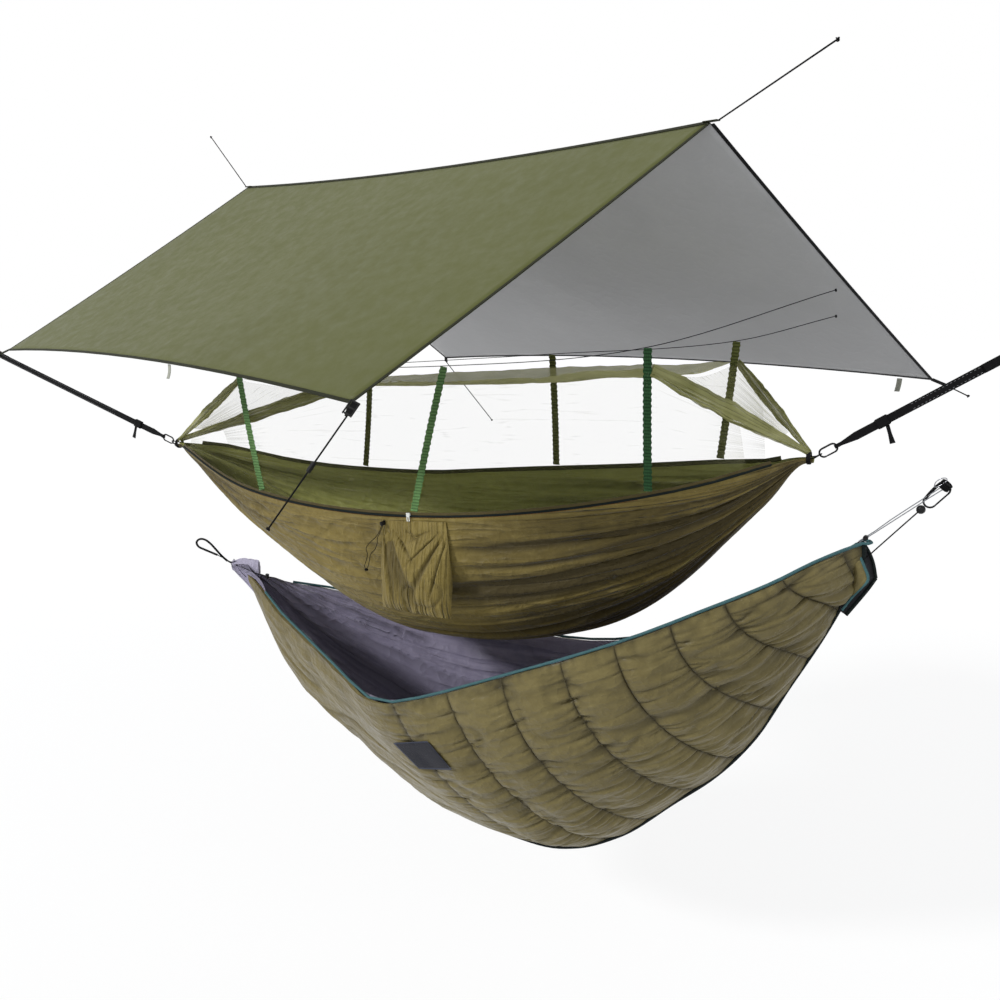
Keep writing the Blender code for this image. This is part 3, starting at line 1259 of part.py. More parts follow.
def quilt_rim(side, p):
    widths, drops, drop = ((QUILT_NEAR_WIDTH_SHARES, QUILT_NEAR_DROP_SHARES, QUILT_NEAR_DROP) if side < 0 else
                           (QUILT_FAR_WIDTH_SHARES, QUILT_FAR_DROP_SHARES, QUILT_FAR_DROP))
    half = QUILT_NECK + (QUILT_HALF_WIDTH - QUILT_NECK) * share_at(widths, p)
    return quilt_line(p) + Vector((0, side * half, -drop * share_at(drops, p)))


def quilt_bottom(p):
    lean = p + QUILT_SKEW_SHARE * share_at(QUILT_SKEW_SHARES, p)
    return quilt_line(lean) - UP * (QUILT_BELLY_DROP * share_at(QUILT_BELLY_SHARES, lean))


def quilt_stations():
    """Stations along the rim, with the place inside each channel: 0 and 1 are its seams."""
    stations = [(CHANNEL_SHARES[0] * i / END_PANEL_STEPS, i / END_PANEL_STEPS) for i in range(END_PANEL_STEPS)]
    for left, right in zip(CHANNEL_SHARES, CHANNEL_SHARES[1:]):
        for k in range(CHANNEL_STEPS):
            stations.append((left + (right - left) * k / CHANNEL_STEPS, k / CHANNEL_STEPS))
    stations.append((CHANNEL_SHARES[-1], 0))
    stations.append((1, 1))
    return stations


def quilt_taper(p):
    """The quilt thins where it is gathered."""
    half = min(quilt_rim(-1, p).y * -1, quilt_rim(1, p).y) * 2
    return min(1, 0.1 + 0.9 * half / QUILT_TAPER_WIDTH)


def quilt_grid(side, start_turn, end_turn, steps):
    rows = []
    for p, _ in quilt_stations():
        rim, bottom = quilt_rim(side, p), quilt_bottom(p)
        taut = share_at(QUILT_TAUT_SHARES, p)
        row = []
        for k in range(steps + 1):
            full = section_point(rim, bottom, start_turn + (end_turn - start_turn) * k / steps)
            row.append(full.lerp(rim.lerp(bottom, k / steps), taut))
        rows.append(row)
    return rows


def outward_normal(normal, side, k):
    """The normal of a quilt half turned to the outside; at the bottom seam it stays in the middle plane."""
    if k < QUILT_STEPS:
        return normal * side
    middle = Vector((normal.x, 0, normal.z)).normalized()
    return middle if middle.z < 0 else -middle


def quilt_halves():
    for name, side in (("quilt_near_half", -1), ("quilt_far_half", 1)):
        rows = quilt_grid(side, 0, math.pi / 2, QUILT_STEPS)
        normals = grid_normals(rows)
        outer, inner = [], []
        for row, line, (p, f) in list(zip(rows, normals, quilt_stations()))[1:]:
            taper = quilt_taper(p)
            puff = math.sin(math.pi * f) ** 0.6 if 0 < f < 1 else 0
            loft_in = QUILT_INNER_LOFT if p >= CHANNEL_SHARES[0] else 0
            high, low = [], []
            for k, (point, normal) in enumerate(zip(row, line)):
                away = outward_normal(normal, side, k)
                edge = min(1, 0.35 + k / 2)
                start = point + ACROSS * (side * GAP / 2 if k == QUILT_STEPS else 0)
                high.append(start + away * (taper * (QUILT_SEAM_THICKNESS / 2 + QUILT_LOFT * puff * edge)))
                low.append(start - away * (taper * (QUILT_SEAM_THICKNESS / 2 + loft_in * puff * edge)))
            outer.append(high)
            inner.append(low)
        shell_between(name, outer, inner, "quilt_olive")


def quilt_lining():
    """The smooth lining that lies in the quilt from rim to rim."""
    grids = [quilt_grid(side, 0, math.pi / 2, QUILT_STEPS) for side in (-1, 1)]
    normals = [grid_normals(grid) for grid in grids]
    stations = quilt_stations()
    rows = []
    for i in list(range(END_PANEL_STEPS)) + list(range(END_PANEL_STEPS, len(stations) - 2, 2)):
        loft_in = QUILT_INNER_LOFT if i >= END_PANEL_STEPS else 0
        depth = quilt_taper(stations[i][0]) * (QUILT_SEAM_THICKNESS / 2 + loft_in)
        depth += CLOTH / 2 + LINING_CLEARANCE
        depth = depth if i else 0
        row = []
        for half, side, order in ((0, -1, range(QUILT_STEPS + 1)), (1, 1, range(QUILT_STEPS - 1, -1, -1))):
            for k in order:
                point, normal = grids[half][i][k], normals[half][i][k]
                fold = LINING_FOLD * (k % 2) * quilt_taper(stations[i][0]) * min(i, 1)
                row.append(point - outward_normal(normal, side, k) * (depth + fold))
        rows.append(row)
    sheet("quilt_lining", rows, CLOTH, "lining_lilac")


def quilt_binding():
    """One rolled binding round both rims, open only at the gathered left end."""
    points = []
    stations = [p for p, _ in quilt_stations()[2:END_PANEL_STEPS]]
    stations += [p for p, _ in quilt_stations()[END_PANEL_STEPS:-CHANNEL_STEPS * 2 - 2:2]]
    stations += [p for p, _ in quilt_stations()[-CHANNEL_STEPS * 2 - 2:]]
    rise = QUILT_SEAM_THICKNESS / 2 + QUILT_BINDING / 2
    for p in reversed(stations):
        points.append(quilt_rim(-1, p) + UP * rise)
    points.reverse()
    far = [quilt_rim(1, p) + UP * rise for p in reversed(stations)]
    turn_centre = (points[-1] + far[0]) / 2
    bend = []
    for k in range(1, 4):
        angle = math.pi * k / 4
        half = (far[0] - points[-1]).length / 2
        bend.append(turn_centre + Vector((half * math.sin(angle), -half * math.cos(angle), 0)))
    loft("quilt_binding", swept_rings(points + bend + far, QUILT_BINDING / 2, 8), "quilt_teal")


def quilt_hardware():
    """Loop cord, cord locks, shock cord and the carabiner that hangs the quilt's right end."""
    cord("quilt_loop_cord", LEFT_LOOP_CORD_ROUTE, LOOP_CORD_DIAMETER, "webbing_black")
    points = [Vector(p) for p in LEFT_LOOP_CORD_ROUTE]
    along = (points[1] - points[2]).normalized()
    place = frame_at(points[1], along, UP)
    cord_lock("quilt_cord_lock_left", place @ Matrix.Translation((0, 0, LOCK_HEIGHT / 6)), LOOP_CORD_DIAMETER,
              LOOP_CORD_DIAMETER, False)
    cord("quilt_shock_cord", SHOCK_CORD_ROUTE, SHOCK_CORD_DIAMETER, "cord_grey")
    cord("quilt_hang_cord", HANG_CORD_ROUTE, ROPE_DIAMETER, "webbing_black")
    shock = [Vector(p) for p in SHOCK_CORD_ROUTE]
    low, high = (shock[1] + shock[-2]) / 2, (shock[2] + shock[-3]) / 2
    run = (high - low).normalized()
    spread = (shock[-2] - shock[1]).normalized()
    place = frame_at((shock[0] + shock[-1]) / 2 + run * (LOCK_DIAMETER * 1.6), run, spread.cross(run))
    width = (shock[-1] - shock[0]).length + SHOCK_CORD_DIAMETER
    cord_lock("quilt_cord_lock_right", place @ Matrix.Translation((0, 0, LOCK_HEIGHT / 6)), width,
              SHOCK_CORD_DIAMETER, True)
    hang = [Vector(p) for p in HANG_CORD_ROUTE]
    pull = (hang[-1] - hang[-2]).normalized()
    ball_middle = hang[-1] + pull * (BALL_DIAMETER / 2 + GAP)
    profile = []
    for degrees in (12, 35, 62, 90, 118, 145, 168):
        angle = math.radians(degrees)
        profile.append((BALL_DIAMETER / 2 * math.sin(angle), -BALL_DIAMETER / 2 * math.cos(angle)))
    ball_place = frame_at(ball_middle, pull, UP) @ Matrix.Rotation(math.pi / 2, 4, "Y")
    turned("quilt_ball_knot", profile, "plastic_black", ball_place)
    inner_bar = ball_middle + pull * (BALL_DIAMETER / 2 + CARABINER_ROD / 2 + GAP)
    wide = pull.cross(ACROSS)
    wide = wide if wide.z > 0 else -wide
    carabiner("quilt_carabiner", inner_bar, pull, wide, QUILT_CARABINER_LENGTH, QUILT_CARABINER_WIDTH,
              "anodised_black", 1)


def build():
    clear_scene()
    fly_panels()
    fly_ridge_tape()
    fly_bindings()
    guylines()
    tensioner()
    bed_panels()
    rim_tapes()
    zip_slider()
    suspension()
    net_walls()
    net_roof()
    net_ends()
    ribbons()
    ridge_cords()
    pouch()
    pouch_lock()
    quilt_halves()
    quilt_lining()
    quilt_binding()
    quilt_hardware()


build()
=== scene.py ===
"""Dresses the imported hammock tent: folded cloth, netting, stitching, knots and fine fittings.

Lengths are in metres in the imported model's frame: +X to the right strap, +Y to the far side, +Z up.
"""
import math

import bmesh
import bpy
from mathutils import Matrix, Vector, noise
from mathutils.bvhtree import BVHTree


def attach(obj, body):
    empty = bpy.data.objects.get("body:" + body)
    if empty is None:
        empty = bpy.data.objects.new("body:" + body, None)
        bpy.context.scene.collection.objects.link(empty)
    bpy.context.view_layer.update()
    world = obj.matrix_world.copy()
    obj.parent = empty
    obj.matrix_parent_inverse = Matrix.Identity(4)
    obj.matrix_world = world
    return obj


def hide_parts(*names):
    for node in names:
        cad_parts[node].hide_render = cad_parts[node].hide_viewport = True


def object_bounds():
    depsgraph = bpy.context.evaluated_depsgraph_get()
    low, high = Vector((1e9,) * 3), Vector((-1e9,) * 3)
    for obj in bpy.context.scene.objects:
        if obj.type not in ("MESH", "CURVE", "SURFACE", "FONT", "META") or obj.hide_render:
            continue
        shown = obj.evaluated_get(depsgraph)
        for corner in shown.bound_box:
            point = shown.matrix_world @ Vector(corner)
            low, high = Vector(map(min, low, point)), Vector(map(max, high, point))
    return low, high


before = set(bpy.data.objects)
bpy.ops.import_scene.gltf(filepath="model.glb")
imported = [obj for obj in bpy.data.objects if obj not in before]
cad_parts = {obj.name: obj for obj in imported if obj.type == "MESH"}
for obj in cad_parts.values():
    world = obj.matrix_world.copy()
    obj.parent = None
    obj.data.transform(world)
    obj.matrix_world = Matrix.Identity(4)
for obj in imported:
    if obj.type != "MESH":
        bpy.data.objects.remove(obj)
CAD_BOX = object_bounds()

BODY = "shelter"
UP = Vector((0, 0, 1))
AWAY = Vector((0, 1, 0))
LEFT_GATHER = Vector((1.261, 0, -0.407))
RIGHT_GATHER = Vector((4.155, 0, -0.262))
QUILT_LEFT = Vector((1.555, 0, -0.955))
QUILT_RIGHT = Vector((4.335, 0, -0.545))

# Quilt: places along it, and shares of its width and drop there
GIRTH_STEPS = 150
CHANNELS = (0.42, 0.507, 0.588, 0.669, 0.735, 0.80, 0.86, 0.92, 0.98)
SKEWS = (
    (0, 0), (0.2, 0.35), (0.42, 1.0), (0.507, 0.86), (0.588, 0.73), (0.669, 0.63), (0.735, 0.57),
    (0.80, 0.48), (0.86, 0.37), (0.92, 0.24), (0.98, 0.06), (1, 0))
NEAR_WIDTHS = (
    (0, 0), (0.056, 0.076), (0.135, 0.26), (0.218, 0.48), (0.3075, 0.72), (0.369, 0.913),
    (0.405, 0.978), (0.461, 1.0), (0.595, 1.0), (0.685, 0.957), (0.764, 0.848), (0.833, 0.717),
    (0.908, 0.5), (0.955, 0.283), (0.984, 0.1), (1, 0.03))
NEAR_DROPS = (
    (0, 0), (0.056, 0.135), (0.135, 0.43), (0.218, 0.64), (0.3075, 0.86), (0.369, 0.985),
    (0.405, 1.0), (0.461, 0.945), (0.52, 0.854), (0.595, 0.725), (0.685, 0.58), (0.764, 0.448),
    (0.833, 0.31), (0.908, 0.167), (0.955, 0.06), (1, 0))
FAR_WIDTHS = (
    (0, 0), (0.056, 0.065), (0.133, 0.435), (0.354, 0.913), (0.6, 0.978), (0.808, 0.76),
    (0.933, 0.326), (1, 0.03))
FAR_DROPS = (
    (0, 0), (0.056, 0.17), (0.133, 0.36), (0.354, 0.756), (0.6025, 1.0), (0.808, 0.748),
    (0.933, 0.264), (1, 0))
TAUTNESS = ((0, 0.8), (0.25, 0.8), (0.42, 0.5), (0.6, 0.2), (0.8, 0.15), (1, 0.3))
BELLY = (
    (0, 0.03), (0.042, 0.086), (0.071, 0.205), (0.117, 0.383), (0.17, 0.514), (0.217, 0.593),
    (0.295, 0.715), (0.412, 0.893), (0.52, 0.957), (0.595, 0.985), (0.632, 0.976), (0.70, 0.918),
    (0.779, 0.786), (0.835, 0.688), (0.883, 0.565), (0.923, 0.405), (0.962, 0.25), (1, 0.07))

NEAR_DROP = 0.48
FAR_DROP = 0.512
BELLY_DROP = 1.285
SKEW = 0.18
NECK_HALF_WIDTH = 0.013
QUILT_HALF_WIDTH = 0.46
CHANNEL_RUN = 2.78
PUFF = 0.030
INNER_PUFF = 0.010
SKIN = 0.0025

NECK_COLUMNS = 54
CHANNEL_COLUMNS = 18

# Cloth: its length as its material measures it, its folds' depths, and how far its faces stay apart in them
CLOTH_LENGTH = 2.9
BED_PLEAT = 0.034
BED_WRINKLE = 0.0055
LINING_PLEAT = 0.020
FOLD_CLEARANCE = 0.006

# Net: its bunched seams, and its ribbons with their materials
HIP_SEAMS = ("hip_seam_near_left", "hip_seam_near_right", "hip_seam_far_left", "hip_seam_far_right")
RIBBONS = {
    # the third near ribbon has a darker copy of the ribbons' green as painted shade
    "ribbon_near_1": "ribbon_light", "ribbon_near_2": "ribbon_light", "ribbon_near_3": "ribbon_shaded",
    "ribbon_far_1": "ribbon_far", "ribbon_far_2": "ribbon_far", "ribbon_far_3": "ribbon_far",
}
RIBBON_HALF_WIDTH = 0.0145
RIBBON_STEPS = 110

# Camera: angles in degrees, lens and sensor in millimetres, picture in pixels
EYE = Vector((4.6618, -3.452, 0.2988))
LOOK_DOWN = 12.035
LOOK_LEFT = 26.247
LENS = 35.46
SENSOR = 36.0
PICTURE = 1000
FOCAL = LENS / SENSOR * PICTURE
CAMERA_TURN = (Matrix.Rotation(math.radians(LOOK_LEFT), 3, "Z")
               @ Matrix.Rotation(math.radians(90 - LOOK_DOWN), 3, "X"))

# Light: the suns' strength, spread and turn, and the floor's glow
KEY_LIGHT = (2.2, 9, (58, 0, -42))
FILL_LIGHT = (0.55, 60, (62, 0, 62))
FLOOR_SIZE = 60.0
FLOOR_BELOW = 0.5
FLOOR_GLOW = 1.08
FLOOR_GLOW_SHARE = 0.78

# How much each finish shines
CLOTH_SHINE = 0.22
WEBBING_SHINE = 0.1
HARD_SHINE = 0.25

# Fly: the rear and front end of each long hem, and how far it bows up between them
NEAR_HEM = (Vector((0.2468, -0.0563, 0.009)), Vector((3.0284, -1.1021, -0.011)))
FAR_HEM = (Vector((1.6172, 1.9589, -0.11)), Vector((4.4498, 0.8819, -0.048)))
HEM_BOW = 0.045

# Places in the picture, in pixels; a third number is the place's depth in metres
NEAR_TAB_COLUMN = 169
FAR_TAB_COLUMN = 899
LABEL_CORNERS = ((393, 743), (427, 741), (452, 770), (419, 769))
MOUTH_RIM = ((856, 543), (859, 554), (864, 566), (868, 580))
MOUTH_HEM = ((848, 548), (852, 566), (853, 584), (846, 602))
MOUTH_FAR = ((862, 541), (868, 550), (873, 562), (876, 578))
MOUTH_FOOT = ((860, 574), (854, 586), (846, 598), (838, 610))
NEAR_EDGE_END = ((862, 587, -0.022), (853, 596, -0.024), (842, 610, -0.026))
LOWER_EDGE_END = ((868, 589, 0.0), (858, 601, -0.012), (846, 615, -0.020))
WRAP_HUB = (946, 485)
WRAP_BACK = (926, 504)
CARABINER_SPINE = ((925, 499), (930, 493), (936, 487), (941, 483))
WIRE_LOOP = ((934, 487), (936, 482), (944, 478), (947, 479), (943, 484), (937, 487))

# Cords: the routes of the model's own cords, and the size and thread of the knots at their ends
GUYLINE_DIAMETER = 0.0052
GUYLINES = {
    "guyline_front": ((3.8436, -0.2629, 0.8129), (4.232, -0.597, 0.936)),
    "guyline_rear": ((1.0288, 0.8630, 0.8349), (0.581, 1.114, 1.148)),
    "guyline_near_front": ((3.0499, -1.1577, -0.0477), (2.934, -1.383, -0.341)),
    "guyline_near_rear": ((0.1826, -0.0678, -0.0165), (0.120, -0.150, -0.030)),
    "guyline_far_front": ((4.5122, 0.8994, -0.0745), (4.596, 1.087, -0.133)),
    "guyline_far_rear": ((1.5884, 2.0130, -0.1438), (1.807, 2.220, -0.525)),
}
GUYLINE_KNOT = (0.011, 0.0034)
RIDGE_CORD_DIAMETER = 0.003
RIDGE_CORD_KNOT = (0.009, 0.0028)
RIDGE_CORDS = {
    "ridge_cord_near": ((1.8900, -0.30, -0.0058), (1.9150, -0.30, -0.0050), (2.8799, -0.30, 0.0279),
                        (3.6500, -0.30, 0.1150), (4.216, -0.20, 0.299)),
    "ridge_cord_far": ((2.1332, 0.30, -0.0320), (2.1581, 0.30, -0.0300), (3.0501, 0.30, 0.0420),
                       (3.8040, 0.30, 0.1120), (4.168, 0.20, 0.210)),
}
LOOP_CORD_DIAMETER = 0.004
LOOP_CORD = (
    (1.8080, -0.0300, -0.9880), (1.7850, -0.0300, -0.9855), (1.7620, -0.0300, -0.9830),
    (1.7390, -0.0300, -0.9805), (1.7160, -0.0295, -0.9780), (1.6600, -0.0200, -0.9700),
    (1.6000, -0.0070, -0.9620), (1.5600, -0.0020, -0.9560), (1.5150, -0.0020, -0.9420),
    (1.4700, -0.0040, -0.9270), (1.4300, -0.0060, -0.9170), (1.3900, -0.0060, -0.9080),
    (1.3550, -0.0040, -0.8980), (1.3420, 0.0000, -0.8820), (1.3560, 0.0030, -0.8660),
    (1.3900, 0.0040, -0.8630), (1.4250, 0.0050, -0.8800), (1.4550, 0.0060, -0.9050),
    (1.4850, 0.0090, -0.9330), (1.5150, 0.0125, -0.9550), (1.5400, 0.0130, -0.9640),
    (1.5543, 0.0130, -0.9660))
DRAWCORD_DIAMETER = 0.0026
DRAWCORD = (
    (2.6820, -0.4192, -0.5420), (2.6755, -0.4192, -0.5560), (2.6690, -0.4192, -0.5700),
    (2.6570, -0.4192, -0.5960), (2.6410, -0.4192, -0.6160), (2.6160, -0.4192, -0.6390),
    (2.5975, -0.4192, -0.6640), (2.6030, -0.4192, -0.6880), (2.5945, -0.4192, -0.7170),
    (2.5880, -0.4192, -0.7380), (2.5950, -0.4192, -0.7450), (2.6030, -0.4192, -0.7360),
    (2.6110, -0.4192, -0.7090), (2.6170, -0.4192, -0.6860), (2.6380, -0.4192, -0.6620),
    (2.6490, -0.4192, -0.6360), (2.6500, -0.4192, -0.6180), (2.66108, -0.4192, -0.59790),
    (2.67308, -0.4192, -0.57190), (2.67958, -0.4192, -0.55790), (2.68608, -0.4192, -0.54390))


# Camera and light

def camera():
    """The camera, where the photograph's stood."""
    data = bpy.data.cameras.new("view_camera")
    data.lens = LENS
    data.sensor_width = SENSOR
    data.clip_end = 100
    made = bpy.data.objects.new("view_camera", data)
    made.location = EYE
    made.rotation_euler = (math.radians(90 - LOOK_DOWN), 0, math.radians(LOOK_LEFT))
    bpy.context.scene.collection.objects.link(made)
    bpy.context.scene.camera = made
    return made


def pixel_ray(x, y):
    """The way from the camera's eye through a pixel of the picture."""
    aim = Vector(((x - PICTURE / 2) / FOCAL, -(y - PICTURE / 2) / FOCAL, -1))
    return (CAMERA_TURN @ aim).normalized()


def at_depth(x, y, depth):
    """Where a pixel's ray meets the upright plane y = depth."""
    way = pixel_ray(x, y)
    return EYE + way * ((depth - EYE.y) / way.y)


def traced(pixels, depth):
    """Where the rays of several pixels meet the upright plane y = depth."""
    return [at_depth(x, y, depth) for x, y in pixels]


def pixel_plane(x, y, middle, out):
    """Where a pixel's ray meets the plane through a point."""
    way = pixel_ray(x, y)
    return EYE + way * ((middle - EYE).dot(out) / way.dot(out))


def picture_place(point):
    """Where a point falls in the picture, in pixels."""
    seen = CAMERA_TURN.transposed() @ (point - EYE)
    return PICTURE / 2 - FOCAL * seen.x / seen.z, PICTURE / 2 + FOCAL * seen.y / seen.z


def lights():
    """A strong sun, and a weak, wide one that fills its shadows."""
    for name, (strength, spread, turn) in (("key_light", KEY_LIGHT), ("fill_light", FILL_LIGHT)):
        data = bpy.data.lights.new(name, "SUN")
        data.energy = strength
        data.angle = math.radians(spread)
        made = bpy.data.objects.new(name, data)
        made.rotation_euler = [math.radians(v) for v in turn]
        bpy.context.scene.collection.objects.link(made)


def white_beyond():
    """A world that is white to the camera and in reflections, and softer as light."""
    bpy.context.scene.view_settings.view_transform = "Standard"
    world = bpy.data.worlds.new("white_world")
    bpy.context.scene.world = world
    world.use_nodes = True
    tree = world.node_tree
    soft = tree.nodes["Background"]
    soft.inputs["Color"].default_value = (0.93, 0.96, 1.0, 1)
    soft.inputs["Strength"].default_value = 0.5
    white = tree.nodes.new("ShaderNodeBackground")
    white.inputs["Color"].default_value = (1, 1, 1, 1)
    white.inputs["Strength"].default_value = 1.0
    mix = mix_shaders(tree, seen_directly(tree), soft, white)
    tree.links.new(mix.outputs[0], tree.nodes["World Output"].inputs["Surface"])


def feed(tree, value, socket):
    """Set a socket to a number or a colour, or link another node's output to it."""
    if isinstance(value, (int, float, tuple)):
        socket.default_value = value
    else:
        tree.links.new(value, socket)


def mix_shaders(tree, share, first, second):
    """A mix of two shaders; share is how much of it is the second."""
    made = tree.nodes.new("ShaderNodeMixShader")
    feed(tree, share, made.inputs[0])
    tree.links.new(first.outputs[0], made.inputs[1])
    tree.links.new(second.outputs[0], made.inputs[2])
    return made


def seen_directly(tree):
    """1 for what the camera sees, also through clear things and in glossy ones."""
    path = tree.nodes.new("ShaderNodeLightPath")
    value = path.outputs["Is Camera Ray"]
    for other in ("Is Glossy Ray", "Is Transmission Ray"):
        both = tree.nodes.new("ShaderNodeMath")
        both.operation = "MAXIMUM"
        tree.links.new(value, both.inputs[0])
        tree.links.new(path.outputs[other], both.inputs[1])
        value = both.outputs[0]
    return value


def floor():
    """A pale floor below the quilt, white to the camera as the photograph's ground is."""
    size, low = FLOOR_SIZE, CAD_BOX[0][2] - FLOOR_BELOW
    mesh = bpy.data.meshes.new("pale_floor")
    corners = [(-size, -size, low), (size, -size, low), (size, size, low), (-size, size, low)]
    mesh.from_pydata(corners, [], [(0, 1, 2, 3)])
    made = bpy.data.objects.new("pale_floor", mesh)
    bpy.context.scene.collection.objects.link(made)
    shade = Shade("pale_floor")
    glow = shade.node("ShaderNodeEmission", Color=(1, 1, 1, 1), Strength=FLOOR_GLOW)
    seen = shade.times(seen_directly(shade.tree), FLOOR_GLOW_SHARE)
    mix = mix_shaders(shade.tree, seen, shade.principled, glow)
    shade.link(mix.outputs[0], shade.output.inputs["Surface"])
    shade.surface({"Base Color": (0.75, 0.75, 0.75, 1)})
    mesh.materials.append(shade.material)


# Materials

def colour(code):
    """Linear RGBA from a six-digit screen colour."""
    out = []
    for i in (0, 2, 4):
        c = int(code[i:i + 2], 16) / 255
        out.append(c / 12.92 if c <= 0.04045 else ((c + 0.055) / 1.055) ** 2.4)
    return (*out, 1)


def darker(code, share):
    """A screen colour as linear RGBA, with only a share of its light."""
    return (*(v * share for v in colour(code)[:3]), 1)


class Shade:
    """A material with its nodes near to hand."""

    def __init__(self, name):
        self.material = bpy.data.materials.new(name)
        self.material.use_nodes = True
        self.tree = self.material.node_tree
        self.principled = self.tree.nodes["Principled BSDF"]
        self.output = self.tree.nodes["Material Output"]
        self.place = self.node("ShaderNodeTexCoord").outputs["Object"]

    def node(self, kind, **inputs):
        made = self.tree.nodes.new(kind)
        for key, value in inputs.items():
            made.inputs[key].default_value = value
        return made

    def link(self, a, b):
        self.tree.links.new(a, b)

    def surface(self, values):
        """Set or link the surface shader's inputs by their names."""
        for key, value in values.items():
            feed(self.tree, value, self.principled.inputs[key])

    def own_place(self):
        """A point's place on the cloth, along and round it."""
        own = self.node("ShaderNodeUVMap")
        own.uv_map = "fabric"
        return own.outputs["UV"]

    def fabric(self, scale):
        """A point's place on the cloth, scaled."""
        made = self.node("ShaderNodeMapping", Scale=scale)
        self.link(self.own_place(), made.inputs["Vector"])
        return made.outputs["Vector"]

    def along(self):
        """How far along the cloth a point is, in metres."""
        parts = self.node("ShaderNodeSeparateXYZ")
        self.link(self.own_place(), parts.inputs[0])
        return parts.outputs["X"]

    def stored(self, name):
        """A number stored on the mesh's vertices."""
        made = self.node("ShaderNodeAttribute")
        made.attribute_name = name
        return made.outputs["Fac"]

    def noise(self, scale, detail=4, rough=0.55, kind="FBM", at=None):
        made = self.node("ShaderNodeTexNoise", Scale=scale, Detail=detail, Roughness=rough)
        made.noise_type = kind
        if kind == "RIDGED_MULTIFRACTAL":
            made.inputs["Offset"].default_value = 1.0
        self.link(at or self.place, made.inputs["Vector"])
        return made.outputs["Fac"]

    def ridges(self, detail, rough, scale):
        """Ridged noise that runs with the cloth."""
        return self.noise(1.0, detail, rough, "RIDGED_MULTIFRACTAL", self.fabric(scale))

    def bands(self, pitch, axis, twist=0.0):
        """Stripes across one axis, a pitch apart."""
        made = self.node("ShaderNodeTexWave", Scale=math.tau / (20 * pitch), Distortion=twist, Detail=1.0)
        made.bands_direction = axis
        self.link(self.place, made.inputs["Vector"])
        return made.outputs["Fac"]

    def maths(self, operation, a, b):
        made = self.node("ShaderNodeMath")
        made.operation = operation
        feed(self.tree, a, made.inputs[0])
        feed(self.tree, b, made.inputs[1])
        return made.outputs[0]

    def times(self, a, b):
        return self.maths("MULTIPLY", a, b)

    def plus(self, a, b):
        return self.maths("ADD", a, b)

    def spread(self, value, low, high, to_low=0.0, to_high=1.0):
        """A value moved from one range to another and held in it."""
        made = self.node("ShaderNodeMapRange")
        for key, number in (("From Min", low), ("From Max", high), ("To Min", to_low), ("To Max", to_high)):
            made.inputs[key].default_value = number
        self.link(value, made.inputs["Value"])
        return made.outputs["Result"]

    def blend(self, factor, a, b):
        """A mix of two colours; the factor is the second one's share."""
        made = self.node("ShaderNodeMix")
        made.data_type = "RGBA"
        sockets = [s for s in made.inputs if s.type == "RGBA"]
        self.link(factor, made.inputs[0])
        feed(self.tree, a, sockets[0])
        feed(self.tree, b, sockets[1])
        return [s for s in made.outputs if s.type == "RGBA"][0]

    def bump(self, height, strength, distance, under=None):
        """A surface direction tilted by a height, over another one if it is given."""
        made = self.node("ShaderNodeBump", Strength=strength, Distance=distance)
        self.link(height, made.inputs["Height"])
        if under is not None:
            self.link(under, made.inputs["Normal"])
        return made.outputs["Normal"]


def weave(shade, pitch):
    """Crossed threads, seen only close up."""
    across = shade.times(shade.bands(pitch, "X"), shade.bands(pitch, "Z"))
    return shade.plus(across, shade.times(shade.bands(pitch, "Y"), 0.5))


